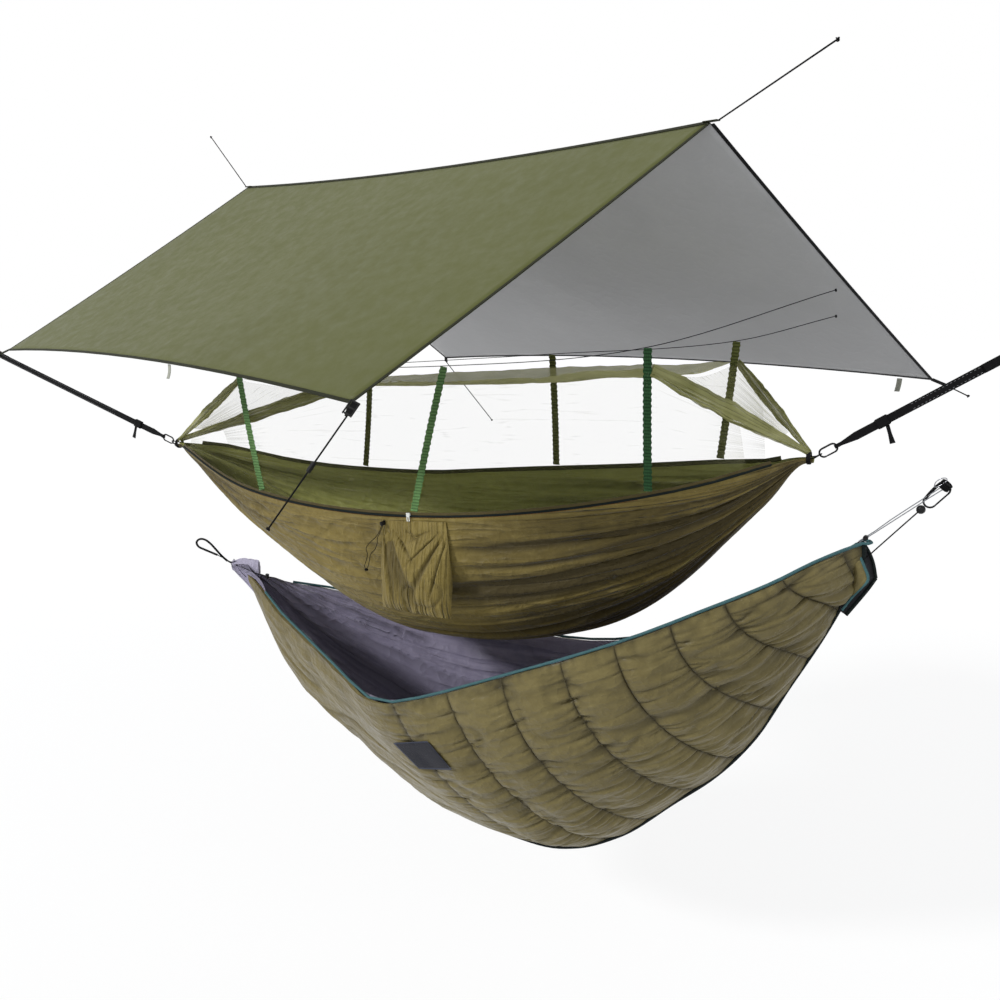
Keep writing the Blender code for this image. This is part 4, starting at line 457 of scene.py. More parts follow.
def cloth(name, base, dark, light, rough=0.55, mottle=5.0, crinkle=26.0, depth=0.35, pitch=0.0016, sheen=0.25,
          streak=None, shaded=0.0, grooves=0.0):
    """Woven cloth: two tones, worn patches, creases lighter on their ridges as painted highlight, and a fine
    weave.

    A streak is folds that run with the cloth, lighter on their ridges as painted highlight: their scale along
    it, their scale round it and their depth. Shaded is how much painted shade the cloth's stored creases get,
    and grooves how deep the pleats are toward both ends, with painted shade in them.
    """
    shade = Shade(name)
    broad = shade.spread(shade.noise(mottle, 3), 0.3, 0.7, 0.45, 1.0)
    fine = shade.spread(shade.noise(mottle * 11, 6, 0.65), 0.35, 0.65)
    creases = shade.noise(crinkle, 5, 0.6, "RIDGED_MULTIFRACTAL")
    small = shade.noise(crinkle * 3.4, 4, 0.6)
    threads = weave(shade, pitch)
    tone = shade.blend(broad, colour(dark), colour(base))
    tone = shade.blend(shade.times(fine, 0.16), tone, colour(light))
    # painted highlight: lighter along the ridges of the crinkles
    tone = shade.blend(shade.spread(creases, 1.5, 2.2, 0.0, 0.18), tone, colour(light))
    tone = shade.blend(shade.times(threads, 0.08), tone, colour(dark))
    normal = None
    if streak:
        run, turn, amount = streak
        long = shade.ridges(4, 0.55, (run, turn, 1))
        # painted highlight: lighter along the ridges of the folds that run with the cloth
        tone = shade.blend(shade.spread(long, 1.5, 2.2, 0.0, 0.25), tone, colour(light))
        normal = shade.bump(long, amount, 0.012)
    if grooves:
        fine = shade.ridges(3, 0.5, (0.45, 9.0, 3))
        broad = shade.ridges(2, 0.5, (0.35, 3.6, 7))
        lines = shade.plus(shade.spread(fine, 1.35, 1.9), shade.spread(broad, 1.35, 1.9))
        from_middle = shade.maths("ABSOLUTE", shade.maths("SUBTRACT", shade.along(), 1.1), 0)
        lines = shade.times(shade.times(lines, grooves), shade.spread(from_middle, 0.35, 1.2))
        # painted shade: darker in the pleats toward both ends
        tone = shade.blend(shade.maths("MINIMUM", lines, 0.85), tone, darker(dark, 0.3))
        normal = shade.bump(shade.maths("SUBTRACT", 1.0, lines), 0.8, 0.01, normal)
    if shaded:
        # painted shade: darker in the creases stored on the mesh
        low = shade.spread(shade.stored("crease"), 0, 1, 0.0, shaded)
        tone = shade.blend(low, tone, darker(dark, 0.3))
    normal = shade.bump(shade.plus(creases, shade.times(small, 0.5)), depth, 0.004, normal)
    normal = shade.bump(threads, 0.12, 0.0004, normal)
    shade.surface({
        "Base Color": tone, "Roughness": shade.spread(fine, 0, 1, rough - 0.08, rough + 0.1),
        "Normal": normal, "Specular IOR Level": CLOTH_SHINE, "Sheen Weight": sheen, "Sheen Roughness": 0.5})
    return shade.material


def webbing(name, base, light, pitch=0.0032, rough=0.6, ladder=0.0):
    """Narrow woven tape or cord with visible ribs, and with cross bars where it has a ladder pitch."""
    shade = Shade(name)
    ribs = shade.plus(shade.bands(pitch, "X"), shade.bands(pitch * 0.6, "Z"))
    wear = shade.spread(shade.noise(28, 5), 0.5, 0.8, 0.0, 0.35)
    tone = shade.blend(shade.times(ribs, 0.25), colour(base), colour(light))
    tone = shade.blend(wear, tone, colour(light))
    normal = shade.bump(ribs, 0.5, 0.0008)
    if ladder:
        bars = shade.spread(shade.bands(ladder, "Z", 0.8), 0.45, 0.8)
        tone = shade.blend(shade.times(bars, 0.55), tone, darker(base, 0.35))
        normal = shade.bump(bars, 0.6, 0.002, normal)
    shade.surface({
        "Base Color": tone, "Roughness": rough, "Specular IOR Level": WEBBING_SHINE, "Normal": normal})
    return shade.material


def netting(name, base, light, cover, pitch=0.0022, fold_cover=0.2, gathered=0.0):
    """Open mesh: thin threads with holes between, denser where it is creased or gathered."""
    shade = Shade(name)
    threads = shade.maths("MAXIMUM", shade.bands(pitch, "X"), shade.bands(pitch, "Z"))
    threads = shade.spread(threads, 0.55, 0.95)
    creased = shade.spread(shade.ridges(3, 0.5, (1.6, 5.0, 1)), 1.55, 1.85)
    solid = shade.plus(shade.times(threads, cover * 0.8), cover * 0.6)
    solid = shade.plus(solid, shade.times(creased, fold_cover))
    if gathered:
        bunched = shade.spread(shade.ridges(5, 0.65, (1.5, 30.0, 1)), 0.5, 1.6)
        bunched = shade.times(bunched, shade.stored("crease"))
        solid = shade.plus(solid, shade.times(bunched, gathered))
    tone = shade.blend(shade.spread(shade.noise(12, 4), 0.3, 0.7), colour(base), colour(light))
    shade.surface({"Base Color": tone, "Roughness": 0.75})
    clear = shade.node("ShaderNodeBsdfTransparent")
    glow = shade.node("ShaderNodeBsdfTranslucent")
    shade.link(tone, glow.inputs["Color"])
    body = mix_shaders(shade.tree, 0.35, shade.principled, glow)
    mix = mix_shaders(shade.tree, shade.maths("MINIMUM", solid, 1.0), clear, body)
    shade.link(mix.outputs[0], shade.output.inputs["Surface"])
    return shade.material


def hard(name, base, rough, metallic=0.0, grain=0.15, light="3a3a3e"):
    """Moulded plastic or coated metal with a fine grain and lighter rubbed patches."""
    shade = Shade(name)
    speck = shade.noise(420, 3)
    rubbed = shade.spread(shade.noise(60, 5), 0.58, 0.75, 0.0, 0.5)
    shade.surface({
        "Base Color": shade.blend(rubbed, colour(base), colour(light)),
        "Roughness": shade.spread(speck, 0.3, 0.7, rough - 0.06, rough + 0.1),
        "Metallic": metallic, "Specular IOR Level": HARD_SHINE, "Normal": shade.bump(speck, grain, 0.0002)})
    return shade.material


def make_materials():
    """Every finish by its short name."""
    return {
        "fly_outside": cloth("fly_outside", "53562b", "4d5026", "5d6034", 0.55, 1.6, 9, 0.05, 0.0018, 0.05),
        "fly_inside": cloth("fly_inside", "b4b4b5", "a6a6a7", "c6c6c7", 0.45, 2.4, 16, 0.10, 0.0018, 0.05),
        "binding_black": webbing("binding_black", "070709", "17171a"),
        "binding_olive": webbing("binding_olive", "191b0e", "2d3019"),
        "hem_tab": webbing("hem_tab", "9b9c90", "c6c8bc"),
        "webbing_black": webbing("webbing_black_dressed", "040405", "121214"),
        "plastic_black": hard("plastic_black_dressed", "070708", 0.42, 0.0, 0.15, "242428"),
        "anodised_black": hard("anodised_black_dressed", "08080a", 0.34, 0.3, 0.1, "2c2c30"),
        "steel": hard("steel_wire", "8a8b90", 0.3, 1.0, 0.1, "c8c8cc"),
        # painted highlights along the fold ridges, painted shade in the creases and in the pleats toward both
        # ends
        "bed_outside": cloth("bed_outside", "7f6f36", "57491c", "b3a264", 0.5, 2.2, 24, 0.4, 0.0014, 0.1,
                             (2.2, 11.0, 0.55), 0.9, 0.75),
        # its own greener tone, lightened as painted light for the light through the thin cloth; painted
        # highlights on fold ridges and painted shade in creases
        "bed_inside": cloth("bed_inside", "a3a45c", "8a8c48", "bcbd76", 0.5, 2.2, 24, 0.35, 0.0014, 0.1,
                            (2.2, 11.0, 0.45), 0.6),
        "rim_slate": webbing("rim_slate_dressed", "0d1413", "202a29"),
        "rim_olive": webbing("rim_olive", "44452a", "5d5e3a"),
        "rim_thread": webbing("rim_thread", "6d4526", "96683c"),
        "zip_white": hard("zip_white_dressed", "d4d6d0", 0.4, 0.0, 0.1, "e8e9e4"),
        "net_wall": netting("net_wall_mesh", "8e8c66", "b5b391", 0.04, 0.0022, 0.12, 0.6),
        "net_end": netting("net_end_mesh", "94935a", "b9b780", 0.16, 0.0022, 0.4, 0.7),
        "net_roof": netting("net_roof_mesh", "a8a768", "c4c288", 1.1, 0.0022, 0.3),
        "net_bunch": netting("net_bunch_mesh", "8c8c52", "b4b37c", 0.42, 0.0022, 0.3, 1.3),
        # painted shade: a near-black cloth for the shade in the quilt's open right end
        "quilt_mouth": cloth("quilt_mouth", "1c1d22", "131418", "2f3036", 0.6, 8, 40, 0.4, 0.0014, 0.05),
        "ribbon_light": webbing("ribbon_light", "4f7440", "85a672", 0.006, 0.6, 0.011),
        # painted shade: a darker copy of the near ribbons' green
        "ribbon_shaded": webbing("ribbon_shaded", "27472b", "4c7a4e", 0.006, 0.6, 0.011),
        "ribbon_far": webbing("ribbon_far", "5c6233", "7f8450", 0.006, 0.6, 0.012),
        # painted highlights along the fold ridges, painted shade in the folds and beside the seams
        "quilt_outside": cloth("quilt_outside", "6f643c", "564c2a", "9c9060", 0.42, 2.4, 24, 0.3, 0.0014, 0.1,
                               (3.0, 11.0, 0.35), 0.9),
        "quilt_edge": webbing("quilt_edge", "0d1212", "232c2b", 0.004),
        "quilt_teal": webbing("quilt_teal_dressed", "34565a", "5f8184", 0.004),
        "quilt_thread": webbing("quilt_thread", "352f1a", "51492d"),
        # painted highlights along the fold ridges, painted shade in the folds and the hollow
        "lining": cloth("lining_lilac_dressed", "9892aa", "77728a", "c2bdd0", 0.5, 2.0, 18, 0.25, 0.0014,
                        0.12, (0.8, 9.0, 0.8), 0.85),
        "sleeve": cloth("sleeve_lilac", "a9a4b8", "928da2", "c4c0d0", 0.5, 14, 60, 0.4, 0.0014, 0.15),
        "label_navy": cloth("label_navy", "12131f", "0c0d16", "1d1f30", 0.7, 20, 120, 0.2, 0.0012, 0.05),
        "label_edge": webbing("label_edge", "2a2c3a", "6d7280"),
        "cord_grey": webbing("cord_grey_dressed", "74767a", "a4a6aa", 0.003),
        "stitch_pale": webbing("stitch_pale", "77777a", "9a9a9d", 0.003),
        "cord_black_twist": webbing("cord_black_twist", "0d0d0f", "3a3a3e", 0.005),
    }


# Shapes

def link(made):
    """Put an object in the scene."""
    bpy.context.scene.collection.objects.link(made)
    return made


def dressed(piece, slot, *nodes):
    """Give a piece its body and hide the nodes that it stands for. The slot is not used."""
    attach(piece, BODY)
    if nodes:
        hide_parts(*nodes)
    return piece


def finish_mesh(name, shaper, materials, smooth_degrees=50):
    """An object from a mesh in the making, smooth but for its sharp edges."""
    mesh = bpy.data.meshes.new(name)
    shaper.to_mesh(mesh)
    shaper.free()
    for material in materials:
        mesh.materials.append(material)
    mesh.shade_smooth()
    mesh.set_sharp_from_angle(angle=math.radians(smooth_degrees))
    return link(bpy.data.objects.new(name, mesh))


def node_tree_of(*nodes):
    """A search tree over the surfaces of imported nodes."""
    verts, faces = [], []
    for node in nodes:
        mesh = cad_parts[node].data
        start = len(verts)
        verts += [v.co.copy() for v in mesh.vertices]
        faces += [[start + i for i in face.vertices] for face in mesh.polygons]
    return BVHTree.FromPolygons(verts, faces)


def piece_tree(name):
    """A search tree over the surface of a dressed piece."""
    return BVHTree.FromObject(bpy.data.objects[name], bpy.context.evaluated_depsgraph_get())


def refined(name, node, levels, crease_degrees=48):
    """A smooth, finer copy of a packed cloth body, with its quads found again and its edges kept."""
    shaper = bmesh.new()
    shaper.from_mesh(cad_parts[node].data)
    bmesh.ops.remove_doubles(shaper, verts=shaper.verts, dist=0.00002)
    limit = math.radians(40)
    bmesh.ops.join_triangles(shaper, faces=shaper.faces, angle_face_threshold=limit,
                             angle_shape_threshold=math.radians(70), cmp_sharp=False)
    crease = shaper.edges.layers.float.new("crease_edge")
    for edge in shaper.edges:
        if len(edge.link_faces) == 2 and edge.calc_face_angle(0) > math.radians(crease_degrees):
            edge[crease] = 1.0
    mesh = bpy.data.meshes.new(name + "_coarse")
    shaper.to_mesh(mesh)
    shaper.free()
    rough = link(bpy.data.objects.new(name + "_coarse", mesh))
    finer = rough.modifiers.new("finer", "SUBSURF")
    finer.levels = levels
    finer.render_levels = levels
    graph = bpy.context.evaluated_depsgraph_get()
    result = bmesh.new()
    result.from_object(rough, graph)
    bpy.data.objects.remove(rough)
    return result


def between(value, low, high):
    """0 below low, 1 above high, smooth between."""
    f = min(max((value - low) / (high - low), 0), 1)
    return f * f * (3 - 2 * f)


def ripple(x, y, z):
    """Smooth noise between -1 and 1."""
    return noise.noise(Vector((x, y, z)))


def place_round(left, right, point):
    """How far from left to right a point is, its angle round that line and the way out of it."""
    along = (point.x - left.x) / (right.x - left.x)
    line = left.lerp(right, along)
    out = Vector((0, point.y, point.z - line.z))
    return along, math.atan2(out.y, -out.z), out.normalized()


def hammock_place(point):
    """A point's place round the line between the hammock's gathers."""
    return place_round(LEFT_GATHER, RIGHT_GATHER, point)


def quilt_place(point):
    """A point's place round the line between the quilt's ends."""
    return place_round(QUILT_LEFT, QUILT_RIGHT, point)


def crease(place, seed, sharp=5.5):
    """1 on a sharp crease line of a smooth noise, falling to 0 beside it."""
    return max(0.0, 1 - sharp * abs(ripple(place[0], place[1], seed))) ** 1.6


def bed_fold(point):
    """Folds that run out from both gathers, and smaller wrinkles across the middle, with their painted shade.
    """
    t, angle, out = hammock_place(point)
    radius = Vector((point.y, point.z - LEFT_GATHER.lerp(RIGHT_GATHER, t).z)).length
    room = min(1, radius / 0.22)
    lower = 1 - 0.6 * between(abs(angle), 0.8, 1.35)
    left = math.exp(-(max(t, 0) / 0.2) ** 2)
    right = between(t, 0.42, 0.74) * lower
    swing = angle + 0.07 * ripple(t * 3, angle * 2, 3.0)
    deep = crease((t * 0.8, swing * 5.5), 11.0, 3.4) + 0.6 * crease((t * 1.1, swing * 10), 12.0, 3.0)
    sharp = deep + 0.5 * crease((t * 1.4, swing * 15), 13.0, 2.8)
    height = -room * (BED_PLEAT * deep * (right + 1.2 * left))
    height += 0.009 * room * ripple(t * 1.5, angle * 9, 21.0) * (left + right)
    middle = 1 - 0.75 * right
    across, over = t * 9 + angle * 2.5, angle * 5 - t * 3
    fine = crease((across * 1.7, over * 1.7), 14.0) + 0.7 * crease((across * 3.6, over * 3.6), 15.0)
    fine *= 0.25 + 0.75 * between(abs(angle), 0.35, 0.9)
    height -= BED_WRINKLE * room * fine * middle
    height += 0.009 * ripple(t * 7, angle * 3, 1.0) * room
    # painted shade: how dark the cloth is drawn in its folds
    shadow = min(1.0, sharp * (right + left) * 1.3 + 0.3 * fine * middle)
    return out * height, shadow


def lining_fold(point):
    """Folds that run out from the lining's left end, with painted shade in them and in its hollow."""
    t, angle, out = quilt_place(point)
    spread = 1 - between(t, 0.55, 0.95)
    swing = angle + 0.05 * ripple(t * 3, angle * 2, 8.0)
    deep = crease((t * 0.8, swing * 5), 31.0) + 0.6 * crease((t * 1.2, swing * 11), 32.0)
    deep += 0.4 * crease((t * 1.6, swing * 22), 33.0)
    height = LINING_PLEAT * deep * spread + 0.004 * abs(ripple(t * 14, angle * 6, 2.5))
    # painted shade in the lining's hollow near its left end
    hollow = 0.75 * (1 - between(abs(angle + 0.25), 0.25, 1.0)) * between(t, 0.04, 0.2)
    return out * -(height + 0.001), min(1.0, 0.6 * deep * spread + hollow)


def fly_fold(point):
    """A little billow and a faint fine ripple."""
    height = 0.007 * ripple(point.x * 1.3, point.y * 1.3, 1.5)
    height += 0.0022 * ripple(point.x * 7, point.y * 7, point.z * 7)
    return UP * height, 0.0


def net_fold(point):
    """Loose netting: slanting wrinkles between its edges, and bunched folds beside the gathers."""
    t = hammock_place(point)[0]
    side = -1 if point.y < 0 else 1
    height = 0.010 * ripple(point.x * 5 + point.z * 6, point.z * 2, side * 3.0)
    height += 0.005 * ripple(point.x * 17 - point.z * 9, point.z * 4, side * 6.0)
    bunched = max(1 - between(t, 0.03, 0.16), between(t, 0.86, 0.98))
    return Vector((0, side * height, 0)), bunched * bunched


def roof_fold(point):
    """Small wrinkles of the roof and the ends, bunched toward the gathers."""
    t = hammock_place(point)[0]
    height = 0.008 * ripple(point.x * 6, point.y * 3, 1.0)
    height += 0.004 * ripple(point.x * 22, point.y * 6, 4.0)
    return UP * height, max(1 - between(t, 0.02, 0.2), between(t, 0.86, 0.98))


def fold_cloth(shaper, fold, edges, reach, place=hammock_place):
    """Move both faces of a sheet by its outer face's fold, ever less within reach of what holds its edges."""
    shadow, fabric = cloth_layers(shaper)
    shaper.verts.index_update()
    outer = [f for f in shaper.faces if f.normal.dot(place(f.calc_center_median())[2]) > 0]
    spots = [v.co.copy() for v in shaper.verts]
    skin = BVHTree.FromPolygons(spots, [[v.index for v in f.verts] for f in outer])
    places = {}
    for vert in shaper.verts:
        t, angle, _ = place(vert.co)
        places[vert] = (t * CLOTH_LENGTH, angle)
    lay_fabric(fabric, places)
    outside = {v for f in outer for v in f.verts}
    for vert in shaper.verts:
        near = min((tree.find_nearest(vert.co)[3] for tree in edges), default=reach)
        move, dark = fold(skin.find_nearest(vert.co)[0])
        share = between(near, 0.002, reach)
        if vert not in outside:
            move -= place(vert.co)[2] * FOLD_CLEARANCE * min(1, 2 * dark)
        vert.co += move * share
        # the fold's painted shade, which netting reads as how thickly it is gathered, less near the held
        # edges
        vert[shadow] = dark * (0.3 + 0.7 * share)


def eased(a, b, leaving, arriving, f):
    """A smooth curve from a to b, of numbers or of points, with its rates at both ends."""
    return (a * (2 * f ** 3 - 3 * f ** 2 + 1) + leaving * (f ** 3 - 2 * f ** 2 + f)
            + b * (3 * f ** 2 - 2 * f ** 3) + arriving * (f ** 3 - f ** 2))


def share_at(table, t):
    """Read a table of (place, share) pairs along a smooth curve without overshoot."""
    t = min(max(t, table[0][0]), table[-1][0])
    slopes = [(v1 - v0) / (t1 - t0) for (t0, v0), (t1, v1) in zip(table, table[1:])]
    tangents = [slopes[0]]
    for before, after in zip(slopes, slopes[1:]):
        tangents.append(0 if before * after <= 0 else 2 * before * after / (before + after))
    tangents.append(slopes[-1])
    for i, ((t0, v0), (t1, v1)) in enumerate(zip(table, table[1:])):
        if t <= t1:
            run = t1 - t0
            return eased(v0, v1, tangents[i] * run, tangents[i + 1] * run, (t - t0) / run)
    return table[-1][1]


def quilt_line(p):
    """A point on the straight line between the quilt's ends."""
    return QUILT_LEFT.lerp(QUILT_RIGHT, p)


def quilt_rim(side, p):
    """A point of the rim, on the near side (-1) or the far side (1)."""
    near, far = (NEAR_WIDTHS, NEAR_DROPS, NEAR_DROP), (FAR_WIDTHS, FAR_DROPS, FAR_DROP)
    widths, drops, drop = near if side < 0 else far
    half = NECK_HALF_WIDTH + (QUILT_HALF_WIDTH - NECK_HALF_WIDTH) * share_at(widths, p)
    return quilt_line(p) + Vector((0, side * half, -drop * share_at(drops, p)))


def quilt_bottom(p):
    """Where the column that starts at p on the rim meets the bottom seam."""
    lean = p + SKEW * share_at(SKEWS, p)
    return quilt_line(lean) - UP * (BELLY_DROP * share_at(BELLY, lean))


def quilt_taper(p):
    """How much of its full thickness the quilt has, less where it is narrow."""
    return min(1, 0.1 + 0.9 * 2 * min(-quilt_rim(-1, p).y, quilt_rim(1, p).y) / 0.16)


def slanted(p, share):
    """Where a column that starts at p on the rim has got to, this share of the way round to the bottom."""
    held = between(p, 0.38, 0.5) * min(1, (1 - p) / 0.085)
    return p + held * (0.028 * between(share, 0.0, 1.0) + 0.012 * math.sin(math.pi * share))


def quilt_columns():
    """Places along the rim, each with its place inside its channel and that channel's length."""
    neck = NECK_COLUMNS
    columns = [(CHANNELS[0] * (i / neck), i / neck, 1.2) for i in range(6, neck)]
    for left, right in zip(CHANNELS, CHANNELS[1:]):
        for i in range(CHANNEL_COLUMNS):
            f = (1 - math.cos(math.pi * i / CHANNEL_COLUMNS)) / 2
            columns.append((left + (right - left) * f, f, (right - left) * CHANNEL_RUN))
    columns.append((CHANNELS[-1], 0, 0.05))
    columns.append((0.99, 0.5, 0.05))
    return columns + [(1, 1, 0.05)]


def quilt_rows(side, columns):
    """The plain surface of one half: points from the rim to the bottom for each column."""
    rows = []
    for p, _, _ in columns:
        row = []
        for k in range(GIRTH_STEPS + 1):
            share = k / GIRTH_STEPS
            place = slanted(p, share)
            rim, bottom, taut = quilt_rim(side, place), quilt_bottom(place), share_at(TAUTNESS, place)
            c, s = math.cos(math.pi / 2 * share), math.sin(math.pi / 2 * share)
            full = Vector((rim.x + (bottom.x - rim.x) * (1 - c), rim.y * c, rim.z + (bottom.z - rim.z) * s))
            row.append(full.lerp(rim.lerp(bottom, share), taut))
        rows.append(row)
    return rows


def quilt_puff(side, p, girth, apart, puff, edge):
    """How far the outer skin stands out at a place, and the painted shade of its folds and seams there."""
    seed = 40.0 + side
    soft = 1 + 0.3 * ripple(p * 16, girth * 3, seed)
    height = SKIN + PUFF * puff * edge * soft
    pull = math.exp(-apart / 0.065) * (1 - math.exp(-apart / 0.004))
    folds = crease((p * 6 + apart * 2, girth * 13), seed) + 0.7 * crease((p * 9, girth * 27), seed + 5)
    slack = crease((p * 12 + girth * 3, girth * 6 - p * 4), seed + 9)
    drawn = math.exp(-girth / 0.045) * crease((p * 70, girth * 5), seed + 11)
    height -= (0.017 * folds * pull + 0.009 * slack * puff + 0.006 * drawn) * edge
    height += 0.004 * ripple(p * 40, girth * 16, seed) * puff
    # painted shade beside the seams and in the folds
    dark = math.exp(-apart / 0.005) * (p > 0.4) + 0.65 * folds * pull + 0.3 * slack * puff
    dark = min(1.0, dark + 0.5 * drawn)
    return height, dark


def quilt_shell(name, side, material):
    """One filled half of the quilt: puffed channels between sewn seams, with puckers beside them."""
    columns = quilt_columns()
    rows = quilt_rows(side, columns)
    shaper = bmesh.new()
    shadow, fabric = cloth_layers(shaper)
    places = {}
    skins = []
    last = len(rows) - 1
    for outside in (True, False):
        grid = []
        for r, (p, f, length) in enumerate(columns):
            taper = quilt_taper(p)
            puff = math.sin(math.pi * f) ** 0.55 if 0 < f < 1 and p < 0.98 else 0
            apart = min(f, 1 - f) * length
            line = []
            girth = 0.0
            for k in range(GIRTH_STEPS + 1):
                share = k / GIRTH_STEPS
                point = rows[r][k]
                girth += (point - rows[r][k - 1]).length if k else 0
                along = rows[min(r + 1, last)][k] - rows[max(r - 1, 0)][k]
                over = rows[r][min(k + 1, GIRTH_STEPS)] - rows[r][max(k - 1, 0)]
                out = along.cross(over).normalized() * side
                if k == GIRTH_STEPS:
                    out = Vector((out.x, 0, out.z)).normalized()
                    out = out if out.z < 0 else -out
                    point = point + Vector((0, side * 0.00015, 0))
                edge = min(1, 0.35 + 4 * k / GIRTH_STEPS) * (1 - 0.8 * between(share, 0.82, 1.0))
                if outside:
                    height, dark = quilt_puff(side, p, girth, apart, puff, edge)
                else:
                    height, dark = -(SKIN + INNER_PUFF * puff * edge * (p >= CHANNELS[0])), 0.0
                vert = shaper.verts.new(point + out * taper * height)
                vert[shadow] = dark
                places[vert] = (p * CLOTH_LENGTH, girth)
                line.append(vert)
            grid.append(line)
        skins.append(grid)
    outer, inner = skins
    close_shell(shaper, outer, inner)
    lay_fabric(fabric, places)
    seams = []
    for r, (p, f, _) in enumerate(columns):
        if f == 0:
            seams.append([(v.co.copy(), (v.co - w.co).normalized()) for v, w in zip(outer[r], inner[r])])
    return finish_mesh(name, shaper, [material]), seams


def cloth_layers(shaper):
    """The two layers that the materials read: how much painted shade a crease gets on cloth, which netting
    reads as how thickly it is gathered, and the place on the cloth.
    """
    return shaper.verts.layers.float.new("crease"), shaper.loops.layers.uv.new("fabric")


def lay_fabric(fabric, places):
    """Store each vertex's place on the cloth."""
    for vert, spot in places.items():
        for loop in vert.link_loops:
            loop[fabric].uv = spot


def quads(shaper, rows):
    """Faces over a grid of vertices."""
    for low, high in zip(rows, rows[1:]):
        for k in range(len(low) - 1):
            shaper.faces.new((low[k], low[k + 1], high[k + 1], high[k]))


def close_shell(shaper, outer, inner):
    """Faces over two grids of the same size and round their edge."""
    rows, columns = len(outer), len(outer[0])
    for r in range(rows - 1):
        for c in range(columns - 1):
            shaper.faces.new((outer[r][c], outer[r][c + 1], outer[r + 1][c + 1], outer[r + 1][c]))
            shaper.faces.new((inner[r][c], inner[r + 1][c], inner[r + 1][c + 1], inner[r][c + 1]))
    for c in (0, columns - 1):
        for r in range(rows - 1):
            quad = (outer[r][c], outer[r + 1][c], inner[r + 1][c], inner[r][c])
            shaper.faces.new(quad if c == 0 else quad[::-1])
    for r in (0, rows - 1):
        for c in range(columns - 1):
            quad = (outer[r][c], outer[r][c + 1], inner[r][c + 1], inner[r][c])
            shaper.faces.new(quad[::-1] if r == 0 else quad)
    bmesh.ops.recalc_face_normals(shaper, faces=shaper.faces)


def close_tube(shaper, rings):
    """Faces between rings of the same size, and a cap at each end."""
    count = len(rings[0])
    for low, high in zip(rings, rings[1:]):
        for k in range(count):
            shaper.faces.new((low[k], low[(k + 1) % count], high[(k + 1) % count], high[k]))
    shaper.faces.new(rings[0][::-1])
    shaper.faces.new(rings[-1])
    bmesh.ops.recalc_face_normals(shaper, faces=shaper.faces)


def two_tone(shaper, way_out):
    """Material 0 on the faces that look out, 1 on those that look in."""
    shaper.normal_update()
    for face in shaper.faces:
        face.material_index = 0 if face.normal.dot(way_out(face.calc_center_median())) > 0 else 1


def outer_skin(shaper, way_out):
    """Keep only the outer skin of a thin closed body, as netting is one layer."""
    shaper.normal_update()
    spare = [f for f in shaper.faces if f.normal.dot(way_out(f.calc_center_median())) <= 0.05]
    bmesh.ops.delete(shaper, geom=spare, context="FACES")


def smooth_points(route, step):
    """Points along a smooth curve through the route's own points, about a step apart."""
    points = [Vector(p) for p in route]
    if len(points) == 2:
        count = max(2, int((points[1] - points[0]).length / step))
        return [points[0].lerp(points[1], i / count) for i in range(count + 1)]
    ways = []
    for i in range(len(points)):
        ahead = points[min(i + 1, len(points) - 1)] - points[i]
        behind = points[i] - points[max(i - 1, 0)]
        ways.append((ahead.normalized() + behind.normalized()).normalized())
    smooth = []
    for i in range(len(points) - 1):
        run = (points[i + 1] - points[i]).length
        count = max(2, round(run / step))
        for k in range(count):
            smooth.append(eased(points[i], points[i + 1], ways[i] * run, ways[i + 1] * run, k / count))
    return smooth + [points[-1]]


def tube(name, points, diameter, material, closed=False, resolution=3):
    """A round cord through its points."""
    curve = bpy.data.curves.new(name, "CURVE")
    curve.dimensions = "3D"
    spline = curve.splines.new("POLY")
    spline.points.add(len(points) - 1)
    for place, point in zip(spline.points, points):
        place.co = (*point, 1)
    spline.use_cyclic_u = closed
    curve.bevel_depth = diameter / 2
    curve.bevel_resolution = resolution
    curve.use_fill_caps = True
    curve.materials.append(material)
    return link(bpy.data.objects.new(name, curve))


def rod(name, route, step, diameter, material, slot, closed=False):
    """A dressed cord or rolled edge along a smooth curve through its route."""
    return dressed(tube(name, smooth_points(route, step), diameter, material, closed), slot)


def knot(name, centre, along, size, diameter, material):
    """A small overhand knot: a closed three-lobed loop pulled tight."""
    x = along.normalized()
    y = (UP if abs(x.z) < 0.9 else Vector((1, 0, 0))).cross(x).normalized()
    z = x.cross(y)
    points = []
    for i in range(48):
        a = math.tau * i / 48
        flat = (math.sin(a) + 2 * math.sin(2 * a), math.cos(a) - 2 * math.cos(2 * a), -math.sin(3 * a))
        points.append(centre + (y * flat[0] + z * flat[1] + x * flat[2] * 1.3) * (size / 6))
    return tube(name, points, diameter, material, True)


def path_length(points):
    """The length of the line through the points."""
    return sum((b - a).length for a, b in zip(points, points[1:]))


def bar(name, centre, along, up, size, material, rounding=0.0):
    """A rounded block with its length, width and height along, across and up."""
    x = along.normalized()
    y = up.cross(x).normalized()
    place = Matrix.Translation(centre) @ Matrix((x, y, x.cross(y))).transposed().to_4x4()
    shaper = bmesh.new()
    bmesh.ops.create_cube(shaper, size=1.0, matrix=place @ Matrix.Diagonal((*size, 1)))
    if rounding:
        bmesh.ops.bevel(shaper, geom=shaper.edges[:], offset=rounding, segments=3, affect="EDGES")
    return finish_mesh(name, shaper, [material], 35)


